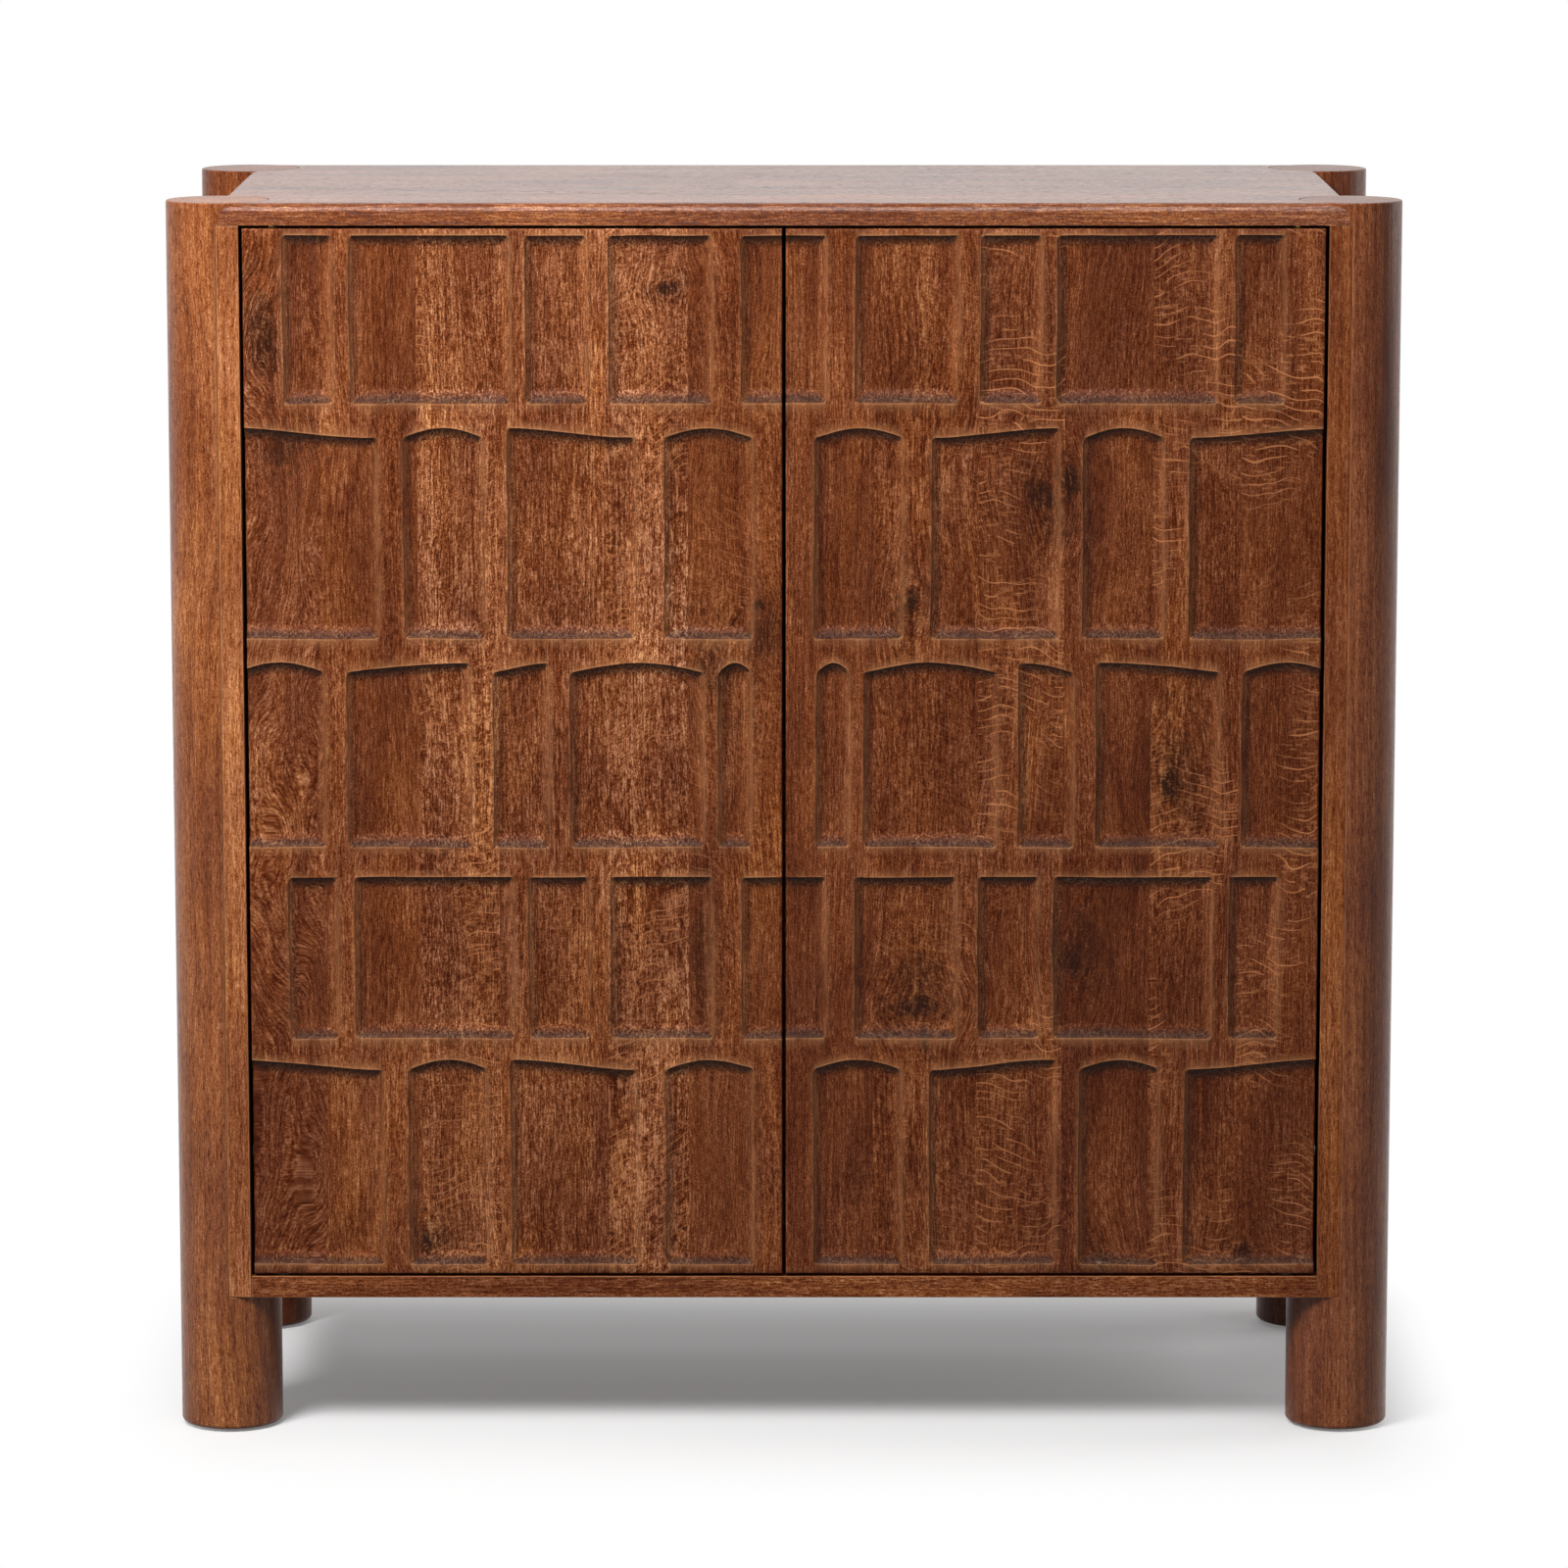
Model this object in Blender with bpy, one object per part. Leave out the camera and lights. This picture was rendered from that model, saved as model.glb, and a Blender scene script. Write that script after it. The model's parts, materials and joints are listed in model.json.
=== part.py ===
"""Bar cabinet with round corner posts and a pair of carved inset doors.

Lengths are in metres and +Z is up. The origin is on the floor under the middle of the cabinet,
and the doors face -Y.
"""

import math

import bmesh
import bpy
from mathutils import Matrix, Vector

# Overall size, over the outsides of the posts
WIDTH = 1.040
DEPTH = 0.457
HEIGHT = 1.055

# Clearances
SEAT_GAP = 0.0003
RUNNING_GAP = 0.0004
CUT_MARGIN = 0.002

# Posts and glides
POST_DIAMETER = 0.087
POST_SIDES = 40
POST_TOP_EASE = 0.0015
POST_FOOT_EASE = 0.004
EASE_STEPS = 3
FOOT_HEIGHT = 0.119
POST_FLAT_INSET = 0.0015
GLIDE_DIAMETER = 0.040
GLIDE_SHOW = 0.002
GLIDE_RECESS = 0.003
GLIDE_EDGE = 0.001
GLIDE_STEM_DIAMETER = 0.008
GLIDE_STEM_LENGTH = 0.016

# Boards of the carcass
TOP_THICKNESS = 0.0185
TOP_EDGE_RADIUS = 0.008
TOP_EDGE_STEPS = 4
SIDE_THICKNESS = 0.019
BOTTOM_THICKNESS = 0.0185
BACK_THICKNESS = 0.009
BACK_INSET = 0.012
BACK_GROOVE = 0.007

# Shelves
MID_SHELF_TOP = 0.600
SHELF_THICKNESS = 0.019
SHELF_SETBACK = 0.046
SHELF_HOUSING = 0.006
DIVIDER_THICKNESS = 0.019
LOOSE_SHELF_TOP = 0.352
LOOSE_SHELF_PLAY = 0.0008
LOOSE_SHELF_SETBACK = 0.054
PEG_DIAMETER = 0.005
PEG_LENGTH = 0.017
PEG_HOLE_DEPTH = 0.009
PEG_EDGE = 0.050
PEG_PITCH = 0.032
PEG_SPARE_ROWS = 2

# Rails for stemmed glasses
STEM_RAILS = 5
STEM_RAIL_LENGTH = 0.300
STEM_RAIL_SETBACK = 0.062
STEM_RAIL_DROP = 0.024
STEM_WEB = 0.014
STEM_FLANGE_WIDTH = 0.044
STEM_FLANGE_THICKNESS = 0.008
STEM_WALL_MARGIN = 0.045
STEM_CENTRE_MARGIN = 0.085

# Bottle rails
BOTTLE_TIERS = 3
BOTTLES_ACROSS = 4
BOTTLE_RAIL_HEIGHT = 0.045
BOTTLE_RAIL_THICKNESS = 0.019
NECK_RADIUS = 0.018
NECK_SINK = 0.012
BODY_RADIUS = 0.041
BODY_SINK = 0.020
BOTTLE_FRONT_SETBACK = 0.100
BOTTLE_BACK_INSET = 0.090
SCALLOP_STEPS = 8

# Doors
DOOR_THICKNESS = 0.022
DOOR_SIDE_GAP = 0.003
DOOR_MEETING_GAP = 0.003
DOOR_TOP_GAP = 0.0024
DOOR_BOTTOM_GAP = 0.002
DOOR_EDGE_EASE = 0.0012

# Section of a carved pocket: a short steep wall down from the rim, then a ramp to the floor
POCKET_DEPTH = 0.0062
WALL_DEPTH = 0.0011
WALL_RUN = 0.0006
SIDE_RAMP = 0.0085
BROW_RAMP = 0.0098
SILL_RAMP = 0.0125
BROW_RISE = 0.0085
BROW_STEPS = 8

# Line of a pocket's upper edge, followed from the hinge side
STRAIGHT = "straight"
ARCH = "arch"
RISE = "rise"
FALL = "fall"

# Pockets of a row, from the hinge edge: plain rib before it, width, upper edge
PLAIN_ROW = (
    (0.0330, 0.0425, STRAIGHT),
    (0.0133, 0.1360, STRAIGHT),
    (0.0116, 0.0526, STRAIGHT),
    (0.0170, 0.0880, STRAIGHT),
    (0.0234, 0.0346, STRAIGHT),
)
WAVED_ROW = (
    (0.0, 0.1125, FALL),
    (0.0205, 0.0690, ARCH),
    (0.0185, 0.1090, FALL),
    (0.0230, 0.0760, ARCH),
)
ARCHED_ROW = (
    (0.0, 0.0663, ARCH),
    (0.0175, 0.1059, RISE),
    (0.0176, 0.0483, RISE),
    (0.0167, 0.1143, ARCH),
    (0.0108, 0.0292, ARCH),
)
# Rows from the top of the door: plain band above it, height to the top of its arches, pockets
CARVED_ROWS = (
    (0.0054, 0.1416, PLAIN_ROW),
    (0.0202, 0.1793, WAVED_ROW),
    (0.0200, 0.1585, ARCHED_ROW),
    (0.0250, 0.1400, PLAIN_ROW),
    (0.0180, 0.1790, WAVED_ROW),
)
CARVING_WIDTH = 0.4520
CARVING_HEIGHT = 0.8950

# Pivots of the doors
PIVOT_INSET = 0.024
PIVOT_PIN_DIAMETER = 0.007
PIVOT_PIN_REACH = 0.010
PLATE_LENGTH = 0.056
PLATE_WIDTH = 0.012
PLATE_THICKNESS = 0.003
PLATE_PIN_INSET = 0.007
BUSH_DIAMETER = 0.013
BUSH_FLOOR = 0.002
BUSH_END_PLAY = 0.001
WASHER_DIAMETER = 0.016

# Push latches
LATCH_WIDTH = 0.018
LATCH_HEIGHT = 0.016
LATCH_LENGTH = 0.056
LATCH_SETBACK = 0.036
LATCH_OFFSET = 0.030
PLUNGER_DIAMETER = 0.008
PLUNGER_TIP_DIAMETER = 0.011
PLUNGER_TIP_LENGTH = 0.003
PLUNGER_HELD_LENGTH = 0.014
PLUNGER_TRAVEL = 0.004
STRIKE_DIAMETER = 0.011
STRIKE_THICKNESS = 0.0012

# Bolts through the side panels into the posts
BOLT_DIAMETER = 0.006
BOLT_HEAD_DIAMETER = 0.013
BOLT_HEAD_HEIGHT = 0.004
BOLT_GRIP = 0.026
BOLT_END_DISTANCE = 0.120

# Facets of small round pieces, and of pegs and bolts
ROUND_SIDES = 20
PEG_SIDES = 10

# Finishes: base colour, roughness, metallic
STAINED_OAK = ((0.170, 0.058, 0.024), 0.42, 0.0)
CARVED_OAK = ((0.150, 0.050, 0.021), 0.44, 0.0)
INNER_OAK = ((0.190, 0.070, 0.030), 0.50, 0.0)
BRASS = ((0.560, 0.380, 0.150), 0.32, 1.0)
STEEL = ((0.480, 0.470, 0.450), 0.36, 1.0)
DARK_PLASTIC = ((0.030, 0.028, 0.026), 0.55, 0.0)

# Levels and faces that several pieces share
POST_RADIUS = POST_DIAMETER / 2
POST_X = WIDTH / 2 - POST_RADIUS
POST_Y = DEPTH / 2 - POST_RADIUS
FRONT = -DEPTH / 2
BACK = DEPTH / 2
SIDE_OUTER = POST_X - POST_FLAT_INSET
SIDE_INNER = SIDE_OUTER - SIDE_THICKNESS
FLOOR = FOOT_HEIGHT + BOTTOM_THICKNESS
CEILING = HEIGHT - TOP_THICKNESS
BACK_REAR = BACK - BACK_INSET
BACK_FACE = BACK_REAR - BACK_THICKNESS
SHELF_FRONT = FRONT + SHELF_SETBACK
MID_SHELF_UNDER = MID_SHELF_TOP - SHELF_THICKNESS
DOOR_BACK = FRONT + DOOR_THICKNESS
DOOR_HINGE_X = SIDE_INNER - DOOR_SIDE_GAP
DOOR_WIDTH = DOOR_HINGE_X - DOOR_MEETING_GAP / 2
DOOR_LOW = FLOOR + DOOR_BOTTOM_GAP
DOOR_HIGH = CEILING - DOOR_TOP_GAP
PIVOT_X = DOOR_HINGE_X - PIVOT_INSET
PIVOT_Y = FRONT + DOOR_THICKNESS / 2
LATCH_Z = CEILING - SEAT_GAP - LATCH_HEIGHT / 2
LATCH_FRONT = FRONT + LATCH_SETBACK
PEG_Z = LOOSE_SHELF_TOP - SHELF_THICKNESS - SEAT_GAP - PEG_DIAMETER / 2

SIDES = (("left", -1), ("right", 1))
ENDS = (("front", -1), ("back", 1))

UP = Matrix.Identity(4)
DOWN = Matrix.Rotation(math.pi, 4, "X")
TO_BACK = Matrix.Rotation(-math.pi / 2, 4, "X")


def outward(side):
    """Turn that points a profile's height away from the middle, to the left or the right."""
    return Matrix.Rotation(side * math.pi / 2, 4, "Y")


def at(x, y, z, turn=UP):
    """Place for a turned shape: a point and the way that its height runs."""
    return Matrix.Translation((x, y, z)) @ turn


def clear_scene():
    for obj in list(bpy.data.objects):
        bpy.data.objects.remove(obj, do_unlink=True)


def add_skin(body, loops, ring=False):
    """Add a skin through loops of points, capped at both ends or closed on itself as a ring."""
    rows = [[body.verts.new(point) for point in loop] for loop in loops]
    pairs = list(zip(rows, rows[1:]))
    if ring:
        pairs.append((rows[-1], rows[0]))
    else:
        body.faces.new(rows[0])
        body.faces.new(rows[-1])
    for near, far in pairs:
        for i in range(len(near)):
            j = (i + 1) % len(near)
            body.faces.new((near[i], near[j], far[j], far[i]))


def add_box(body, low, high):
    (x0, y0, z0), (x1, y1, z1) = low, high
    plan = ((x0, y0), (x1, y0), (x1, y1), (x0, y1))
    add_skin(body, [[(x, y, z) for x, y in plan] for z in (z0, z1)])


def add_run(body, outline, start, end):
    """Add an outline in X and Z that runs straight along Y."""
    add_skin(body, [[(x, y, z) for x, z in outline] for y in (start, end)])


def add_turned(body, profile, place, sides=ROUND_SIDES, ring=False):
    """Add a profile of (radius, height) pairs turned about the height of its place."""
    angles = [2 * math.pi * i / sides for i in range(sides)]
    loops = []
    for radius, height in profile:
        loops.append(
            [place @ Vector((radius * math.cos(a), radius * math.sin(a), height)) for a in angles]
        )
    add_skin(body, loops, ring)


def add_bore(body, diameter, start, end, place, sides=ROUND_SIDES):
    add_turned(body, [(diameter / 2, start), (diameter / 2, end)], place, sides)


def mesh_from(name, body, parent):
    """Close a body into a mesh, measured from its parent."""
    if parent:
        bmesh.ops.translate(body, vec=-parent.location, verts=body.verts)
    bmesh.ops.recalc_face_normals(body, faces=body.faces)
    mesh = bpy.data.meshes.new(name)
    body.to_mesh(mesh)
    body.free()
    return mesh


def link(name, data, parent=None):
    obj = bpy.data.objects.new(name, data)
    obj.parent = parent
    bpy.context.scene.collection.objects.link(obj)
    return obj


def finish_material(name, finish):
    colour, roughness, metallic = finish
    material = bpy.data.materials.new(name)
    material.use_nodes = True
    shader = material.node_tree.nodes["Principled BSDF"]
    shader.inputs["Base Color"].default_value = (*colour, 1.0)
    shader.inputs["Roughness"].default_value = roughness
    shader.inputs["Metallic"].default_value = metallic
    return material


def make_piece(name, body, finish, parent=None):
    """Make a named piece from a body; a parent empty carries it on a joint axis."""
    piece = link(name, mesh_from(name, body, parent), parent)
    piece.data.materials.append(finish_material(name, finish))
    return piece


def combine(piece, label, body, operation):
    """Cut a body out of a piece, or join it on."""
    name = f"{piece.name}_{label}"
    tool = link(name, mesh_from(name, body, piece.parent), piece.parent)
    tool.hide_render = True
    tool.display_type = "WIRE"
    modifier = piece.modifiers.new(label, "BOOLEAN")
    modifier.operation = operation
    modifier.solver = "EXACT"
    modifier.object = tool


def cut(piece, label, body):
    combine(piece, label, body, "DIFFERENCE")


def axis_empty(name, x, y, z):
    """Empty on a joint's axis."""
    empty = link(name, None)
    empty.location = (x, y, z)
    return empty


def quarter_round(radius, ease, height, above):
    """Profile points of a rounded rim, from below to above."""
    start = 0 if above else -math.pi / 2
    centre = height - ease if above else height + ease
    points = []
    for i in range(EASE_STEPS + 1):
        angle = start + math.pi / 2 * i / EASE_STEPS
        points.append((radius - ease + ease * math.cos(angle), centre + ease * math.sin(angle)))
    return points


def stem_rail_centres():
    first = -SIDE_INNER + STEM_WALL_MARGIN
    pitch = (SIDE_INNER - STEM_WALL_MARGIN - STEM_CENTRE_MARGIN) / (STEM_RAILS - 1)
    return [first + pitch * i for i in range(STEM_RAILS)]


def bolt_places(side, end):
    """Places of the lower and the upper bolt of a post, on the inner face of the side panel."""
    levels = (FOOT_HEIGHT + BOLT_END_DISTANCE, HEIGHT - BOLT_END_DISTANCE)
    return [at(side * SIDE_INNER, end * POST_Y, z, outward(side)) for z in levels]


def bolt_holes(side, ends):
    body = bmesh.new()
    depth = SIDE_THICKNESS + BOLT_GRIP + SEAT_GAP
    for end in ends:
        for place in bolt_places(side, end):
            add_bore(body, BOLT_DIAMETER + 2 * SEAT_GAP, -CUT_MARGIN, depth, place, PEG_SIDES)
    return body


def peg_rows():
    """Distances along Y of the pegs under the loose shelf."""
    return (FRONT + LOOSE_SHELF_SETBACK + PEG_EDGE, BACK_FACE - PEG_EDGE)


def peg_holes(wall, side):
    """Holes for the pegs, and spare rows above and below them, in a wall at an X."""
    body = bmesh.new()
    for y in peg_rows():
        for row in range(-PEG_SPARE_ROWS, PEG_SPARE_ROWS + 1):
            place = at(wall, y, PEG_Z + PEG_PITCH * row, outward(side))
            bore = PEG_DIAMETER + 2 * SEAT_GAP
            add_bore(body, bore, -CUT_MARGIN, PEG_HOLE_DEPTH, place, PEG_SIDES)
    return body


def plate_box(body, side, level, thickness, grow):
    """Add the flat of a pivot plate, or its mortise, between a level and a thickness above it."""
    outer = PIVOT_X + PLATE_PIN_INSET + grow
    inner = PIVOT_X + PLATE_PIN_INSET - PLATE_LENGTH - grow
    across = PLATE_WIDTH / 2 + grow
    low_x, high_x = sorted((side * inner, side * outer))
    low = (low_x, PIVOT_Y - across, level)
    high = (high_x, PIVOT_Y + across, level + thickness)
    add_box(body, low, high)


def make_posts():
    radius = POST_RADIUS
    foot = quarter_round(radius, POST_FOOT_EASE, GLIDE_SHOW, above=False)
    head = quarter_round(radius, POST_TOP_EASE, HEIGHT, above=True)
    seat = GLIDE_SHOW + GLIDE_RECESS + SEAT_GAP
    glide_hole = [
        (GLIDE_DIAMETER / 2 + SEAT_GAP, GLIDE_SHOW - CUT_MARGIN),
        (GLIDE_DIAMETER / 2 + SEAT_GAP, seat),
        (GLIDE_STEM_DIAMETER / 2 + SEAT_GAP, seat),
        (GLIDE_STEM_DIAMETER / 2 + SEAT_GAP, seat + GLIDE_STEM_LENGTH),
    ]
    for side_name, side in SIDES:
        for end_name, end in ENDS:
            place = at(side * POST_X, end * POST_Y, 0)
            body = bmesh.new()
            add_turned(body, foot + head, place, POST_SIDES)
            post = make_piece(f"post_{end_name}_{side_name}", body, STAINED_OAK)
            rebate = bmesh.new()
            flat = side * (SIDE_OUTER + SEAT_GAP)
            clear = side * (POST_X - POST_RADIUS - CUT_MARGIN)
            low_y, high_y = sorted((end * (POST_Y - POST_DIAMETER), end * (BACK + CUT_MARGIN)))
            low = (min(flat, clear), low_y, FOOT_HEIGHT - SEAT_GAP)
            high = (max(flat, clear), high_y, CEILING)
            add_box(rebate, low, high)
            cut(post, "rebate", rebate)
            recess = bmesh.new()
            add_turned(recess, glide_hole, place)
            cut(post, "glide_seat", recess)
            cut(post, "bolts", bolt_holes(side, (end,)))


def make_glides():
    radius = GLIDE_DIAMETER / 2
    seat = GLIDE_SHOW + GLIDE_RECESS
    profile = [
        (radius - GLIDE_EDGE, 0),
        (radius, GLIDE_EDGE),
        (radius, seat),
        (GLIDE_STEM_DIAMETER / 2, seat),
        (GLIDE_STEM_DIAMETER / 2, seat + GLIDE_STEM_LENGTH),
    ]
    for side_name, side in SIDES:
        for end_name, end in ENDS:
            body = bmesh.new()
            add_turned(body, profile, at(side * POST_X, end * POST_Y, 0))
            make_piece(f"glide_{end_name}_{side_name}", body, DARK_PLASTIC)


def make_top():
    body = bmesh.new()
    add_box(body, (-SIDE_OUTER, FRONT, CEILING), (SIDE_OUTER, BACK, HEIGHT))
    rims = [e for e in body.edges if all(v.co.z > HEIGHT - SEAT_GAP for v in e.verts)]
    bmesh.ops.bevel(
        body,
        geom=rims,
        offset=TOP_EDGE_RADIUS,
        segments=TOP_EDGE_STEPS,
        profile=0.5,
        affect="EDGES",
    )
    top = make_piece("top_panel", body, STAINED_OAK)
    notches = bmesh.new()
    for _, side in SIDES:
        for _, end in ENDS:
            place = at(side * POST_X, end * POST_Y, 0)
            bore = POST_DIAMETER + 2 * SEAT_GAP
            add_bore(notches, bore, CEILING - CUT_MARGIN, HEIGHT + CUT_MARGIN, place, POST_SIDES)
    cut(top, "posts", notches)
    mortises = bmesh.new()
    for _, side in SIDES:
        depth = PLATE_THICKNESS + SEAT_GAP + CUT_MARGIN
        plate_box(mortises, side, CEILING - CUT_MARGIN, depth, SEAT_GAP)
    cut(top, "plates", mortises)


def make_bottom():
    body = bmesh.new()
    reach = SIDE_INNER - SEAT_GAP
    add_box(body, (-reach, FRONT, FOOT_HEIGHT), (reach, BACK, FLOOR))
    bottom = make_piece("bottom_panel", body, STAINED_OAK)
    mortises = bmesh.new()
    for _, side in SIDES:
        depth = PLATE_THICKNESS + SEAT_GAP
        plate_box(mortises, side, FLOOR - depth, depth + CUT_MARGIN, SEAT_GAP)
    cut(bottom, "plates", mortises)


def make_sides():
    for name, side in SIDES:
        low_x, high_x = sorted((side * SIDE_INNER, side * SIDE_OUTER))
        body = bmesh.new()
        add_box(body, (low_x, FRONT, FOOT_HEIGHT), (high_x, BACK, CEILING - SEAT_GAP))
        panel = make_piece(f"side_panel_{name}", body, STAINED_OAK)
        face = side * (SIDE_INNER - CUT_MARGIN)
        groove = bmesh.new()
        low_x, high_x = sorted((face, side * (SIDE_INNER + BACK_GROOVE)))
        low = (low_x, BACK_FACE - SEAT_GAP, FLOOR)
        high = (high_x, BACK_REAR + SEAT_GAP, CEILING + CUT_MARGIN)
        add_box(groove, low, high)
        cut(panel, "back_groove", groove)
        housing = bmesh.new()
        low_x, high_x = sorted((face, side * (SIDE_INNER + SHELF_HOUSING)))
        low = (low_x, SHELF_FRONT - SEAT_GAP, MID_SHELF_UNDER - SEAT_GAP)
        high = (high_x, BACK_FACE + BACK_THICKNESS / 2, MID_SHELF_TOP + SEAT_GAP)
        add_box(housing, low, high)
        cut(panel, "shelf_housing", housing)
        cut(panel, "bolts", bolt_holes(side, (-1, 1)))
        if side > 0:
            cut(panel, "pegs", peg_holes(SIDE_INNER, side))


def make_back():
    body = bmesh.new()
    reach = SIDE_INNER + BACK_GROOVE - SEAT_GAP
    low = (-reach, BACK_FACE, FLOOR + SEAT_GAP)
    high = (reach, BACK_REAR, CEILING - SEAT_GAP)
    add_box(body, low, high)
    make_piece("back_panel", body, INNER_OAK)


def make_shelves():
    rear = BACK_FACE - SEAT_GAP
    body = bmesh.new()
    reach = SIDE_INNER + SHELF_HOUSING - SEAT_GAP
    add_box(body, (-reach, SHELF_FRONT, MID_SHELF_UNDER), (reach, rear, MID_SHELF_TOP))
    make_piece("mid_shelf", body, INNER_OAK)

    body = bmesh.new()
    half = DIVIDER_THICKNESS / 2
    low = (-half, SHELF_FRONT, FLOOR + SEAT_GAP)
    add_box(body, low, (half, rear, MID_SHELF_UNDER - SEAT_GAP))
    divider = make_piece("centre_divider", body, INNER_OAK)
    cut(divider, "pegs", peg_holes(half, -1))

    body = bmesh.new()
    low = (half + LOOSE_SHELF_PLAY, FRONT + LOOSE_SHELF_SETBACK, LOOSE_SHELF_TOP - SHELF_THICKNESS)
    add_box(body, low, (SIDE_INNER - LOOSE_SHELF_PLAY, rear, LOOSE_SHELF_TOP))
    make_piece("loose_shelf", body, INNER_OAK)

    start = PEG_HOLE_DEPTH - SEAT_GAP - PEG_LENGTH
    for wall_name, wall, side in (("divider", half, -1), ("side", SIDE_INNER, 1)):
        for (end_name, _), y in zip(ENDS, peg_rows()):
            body = bmesh.new()
            place = at(wall, y, PEG_Z, outward(side))
            add_bore(body, PEG_DIAMETER, start, start + PEG_LENGTH, place, PEG_SIDES)
            make_piece(f"shelf_peg_{wall_name}_{end_name}", body, BRASS)


def make_stem_rails():
    top = CEILING - SEAT_GAP
    low = top - STEM_RAIL_DROP
    ledge = low + STEM_FLANGE_THICKNESS
    start = FRONT + STEM_RAIL_SETBACK
    for number, x in enumerate(stem_rail_centres(), 1):
        half = [
            (STEM_WEB / 2, top),
            (STEM_WEB / 2, ledge),
            (STEM_FLANGE_WIDTH / 2, ledge),
            (STEM_FLANGE_WIDTH / 2, low),
        ]
        outline = [(x + dx, z) for dx, z in half] + [(x - dx, z) for dx, z in reversed(half)]
        body = bmesh.new()
        add_run(body, outline, start, start + STEM_RAIL_LENGTH)
        make_piece(f"stem_rail_{number}", body, INNER_OAK)


def scallop(centre, level, radius, sink):
    """Points of a round hollow in a rail's upper edge, from left to right."""
    reach = math.acos((radius - sink) / radius)
    points = []
    for i in range(SCALLOP_STEPS + 1):
        angle = reach * (2 * i / SCALLOP_STEPS - 1)
        x = centre + radius * math.sin(angle)
        points.append((x, level + radius - sink - radius * math.cos(angle)))
    return points


def make_bottle_rails():
    left = -SIDE_INNER + SEAT_GAP
    right = -DIVIDER_THICKNESS / 2 - SEAT_GAP
    pitch = (right - left) / BOTTLES_ACROSS
    tier_pitch = (MID_SHELF_UNDER - FLOOR) / BOTTLE_TIERS
    rails = (
        ("front", FRONT + BOTTLE_FRONT_SETBACK, NECK_RADIUS, NECK_SINK),
        ("back", BACK_FACE - BOTTLE_BACK_INSET, BODY_RADIUS, BODY_SINK),
    )
    for tier in range(BOTTLE_TIERS):
        low = FLOOR + SEAT_GAP + tier_pitch * tier
        level = low + BOTTLE_RAIL_HEIGHT
        for name, y, radius, sink in rails:
            outline = [(left, level)]
            for bottle in range(BOTTLES_ACROSS):
                outline += scallop(left + pitch * (bottle + 0.5), level, radius, sink)
            outline += [(right, level), (right, low), (left, low)]
            body = bmesh.new()
            add_run(body, outline, y, y + BOTTLE_RAIL_THICKNESS)
            make_piece(f"bottle_rail_{name}_{tier + 1}", body, INNER_OAK)


def brow_line(kind, along):
    """Height of a pocket's upper edge as a share of its rise, followed from the hinge side."""
    ease = along * along * (3 - 2 * along)
    lines = {
        STRAIGHT: 1.0,
        ARCH: math.sin(math.pi * along),
        RISE: math.sin(math.pi / 2 * along),
        FALL: 1 - ease,
    }
    return lines[kind]


def pocket_loop(near, far, sill, brow, kind, depth, insets):
    """Outline of a pocket at a depth, as (distance from the hinge edge, depth, height)."""
    side_inset, sill_inset, brow_inset = insets
    near += side_inset
    far -= side_inset
    steps = 1 if kind == STRAIGHT else BROW_STEPS
    points = [(near, depth, sill + sill_inset), (far, depth, sill + sill_inset)]
    for i in range(steps + 1):
        along = 1 - i / steps
        drop = BROW_RISE * (1 - brow_line(kind, along)) + brow_inset
        points.append((near + (far - near) * along, depth, brow - drop))
    return points


def add_pocket(body, side, near, far, sill, brow, kind):
    """Add a pocket's hollow: its rim lies in the door's face, where the steep wall starts."""
    flare = -CUT_MARGIN * WALL_RUN / WALL_DEPTH
    sections = (
        (-CUT_MARGIN, (flare, flare, flare)),
        (WALL_DEPTH, (WALL_RUN, WALL_RUN, WALL_RUN)),
        (POCKET_DEPTH, (SIDE_RAMP, SILL_RAMP, BROW_RAMP)),
    )
    loops = []
    for depth, insets in sections:
        points = pocket_loop(near, far, sill, brow, kind, depth, insets)
        loops.append([(side * (DOOR_HINGE_X - s), FRONT + y, z) for s, y, z in points])
    add_skin(body, loops)


def door_carving(side):
    """Hollows of a door's rows of pockets, stretched to the door; end pockets run out at its edges."""
    across = DOOR_WIDTH / CARVING_WIDTH
    upright = (DOOR_HIGH - DOOR_LOW) / CARVING_HEIGHT
    run_out = SIDE_RAMP + CUT_MARGIN
    body = bmesh.new()
    level = DOOR_HIGH
    for band, height, pockets in CARVED_ROWS:
        brow = level - band * upright
        sill = brow - height * upright
        reached = 0.0
        for rib, width, kind in pockets:
            near = (reached + rib) * across
            # A pocket that would start past the meeting edge falls off its row
            if near > DOOR_WIDTH - SIDE_RAMP:
                break
            reached += rib + width
            far = reached * across
            if rib == 0:
                near -= run_out
            if far > DOOR_WIDTH - DOOR_EDGE_EASE:
                far = DOOR_WIDTH + run_out
            add_pocket(body, side, near, far, sill, brow, kind)
        level = sill
    return body


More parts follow.
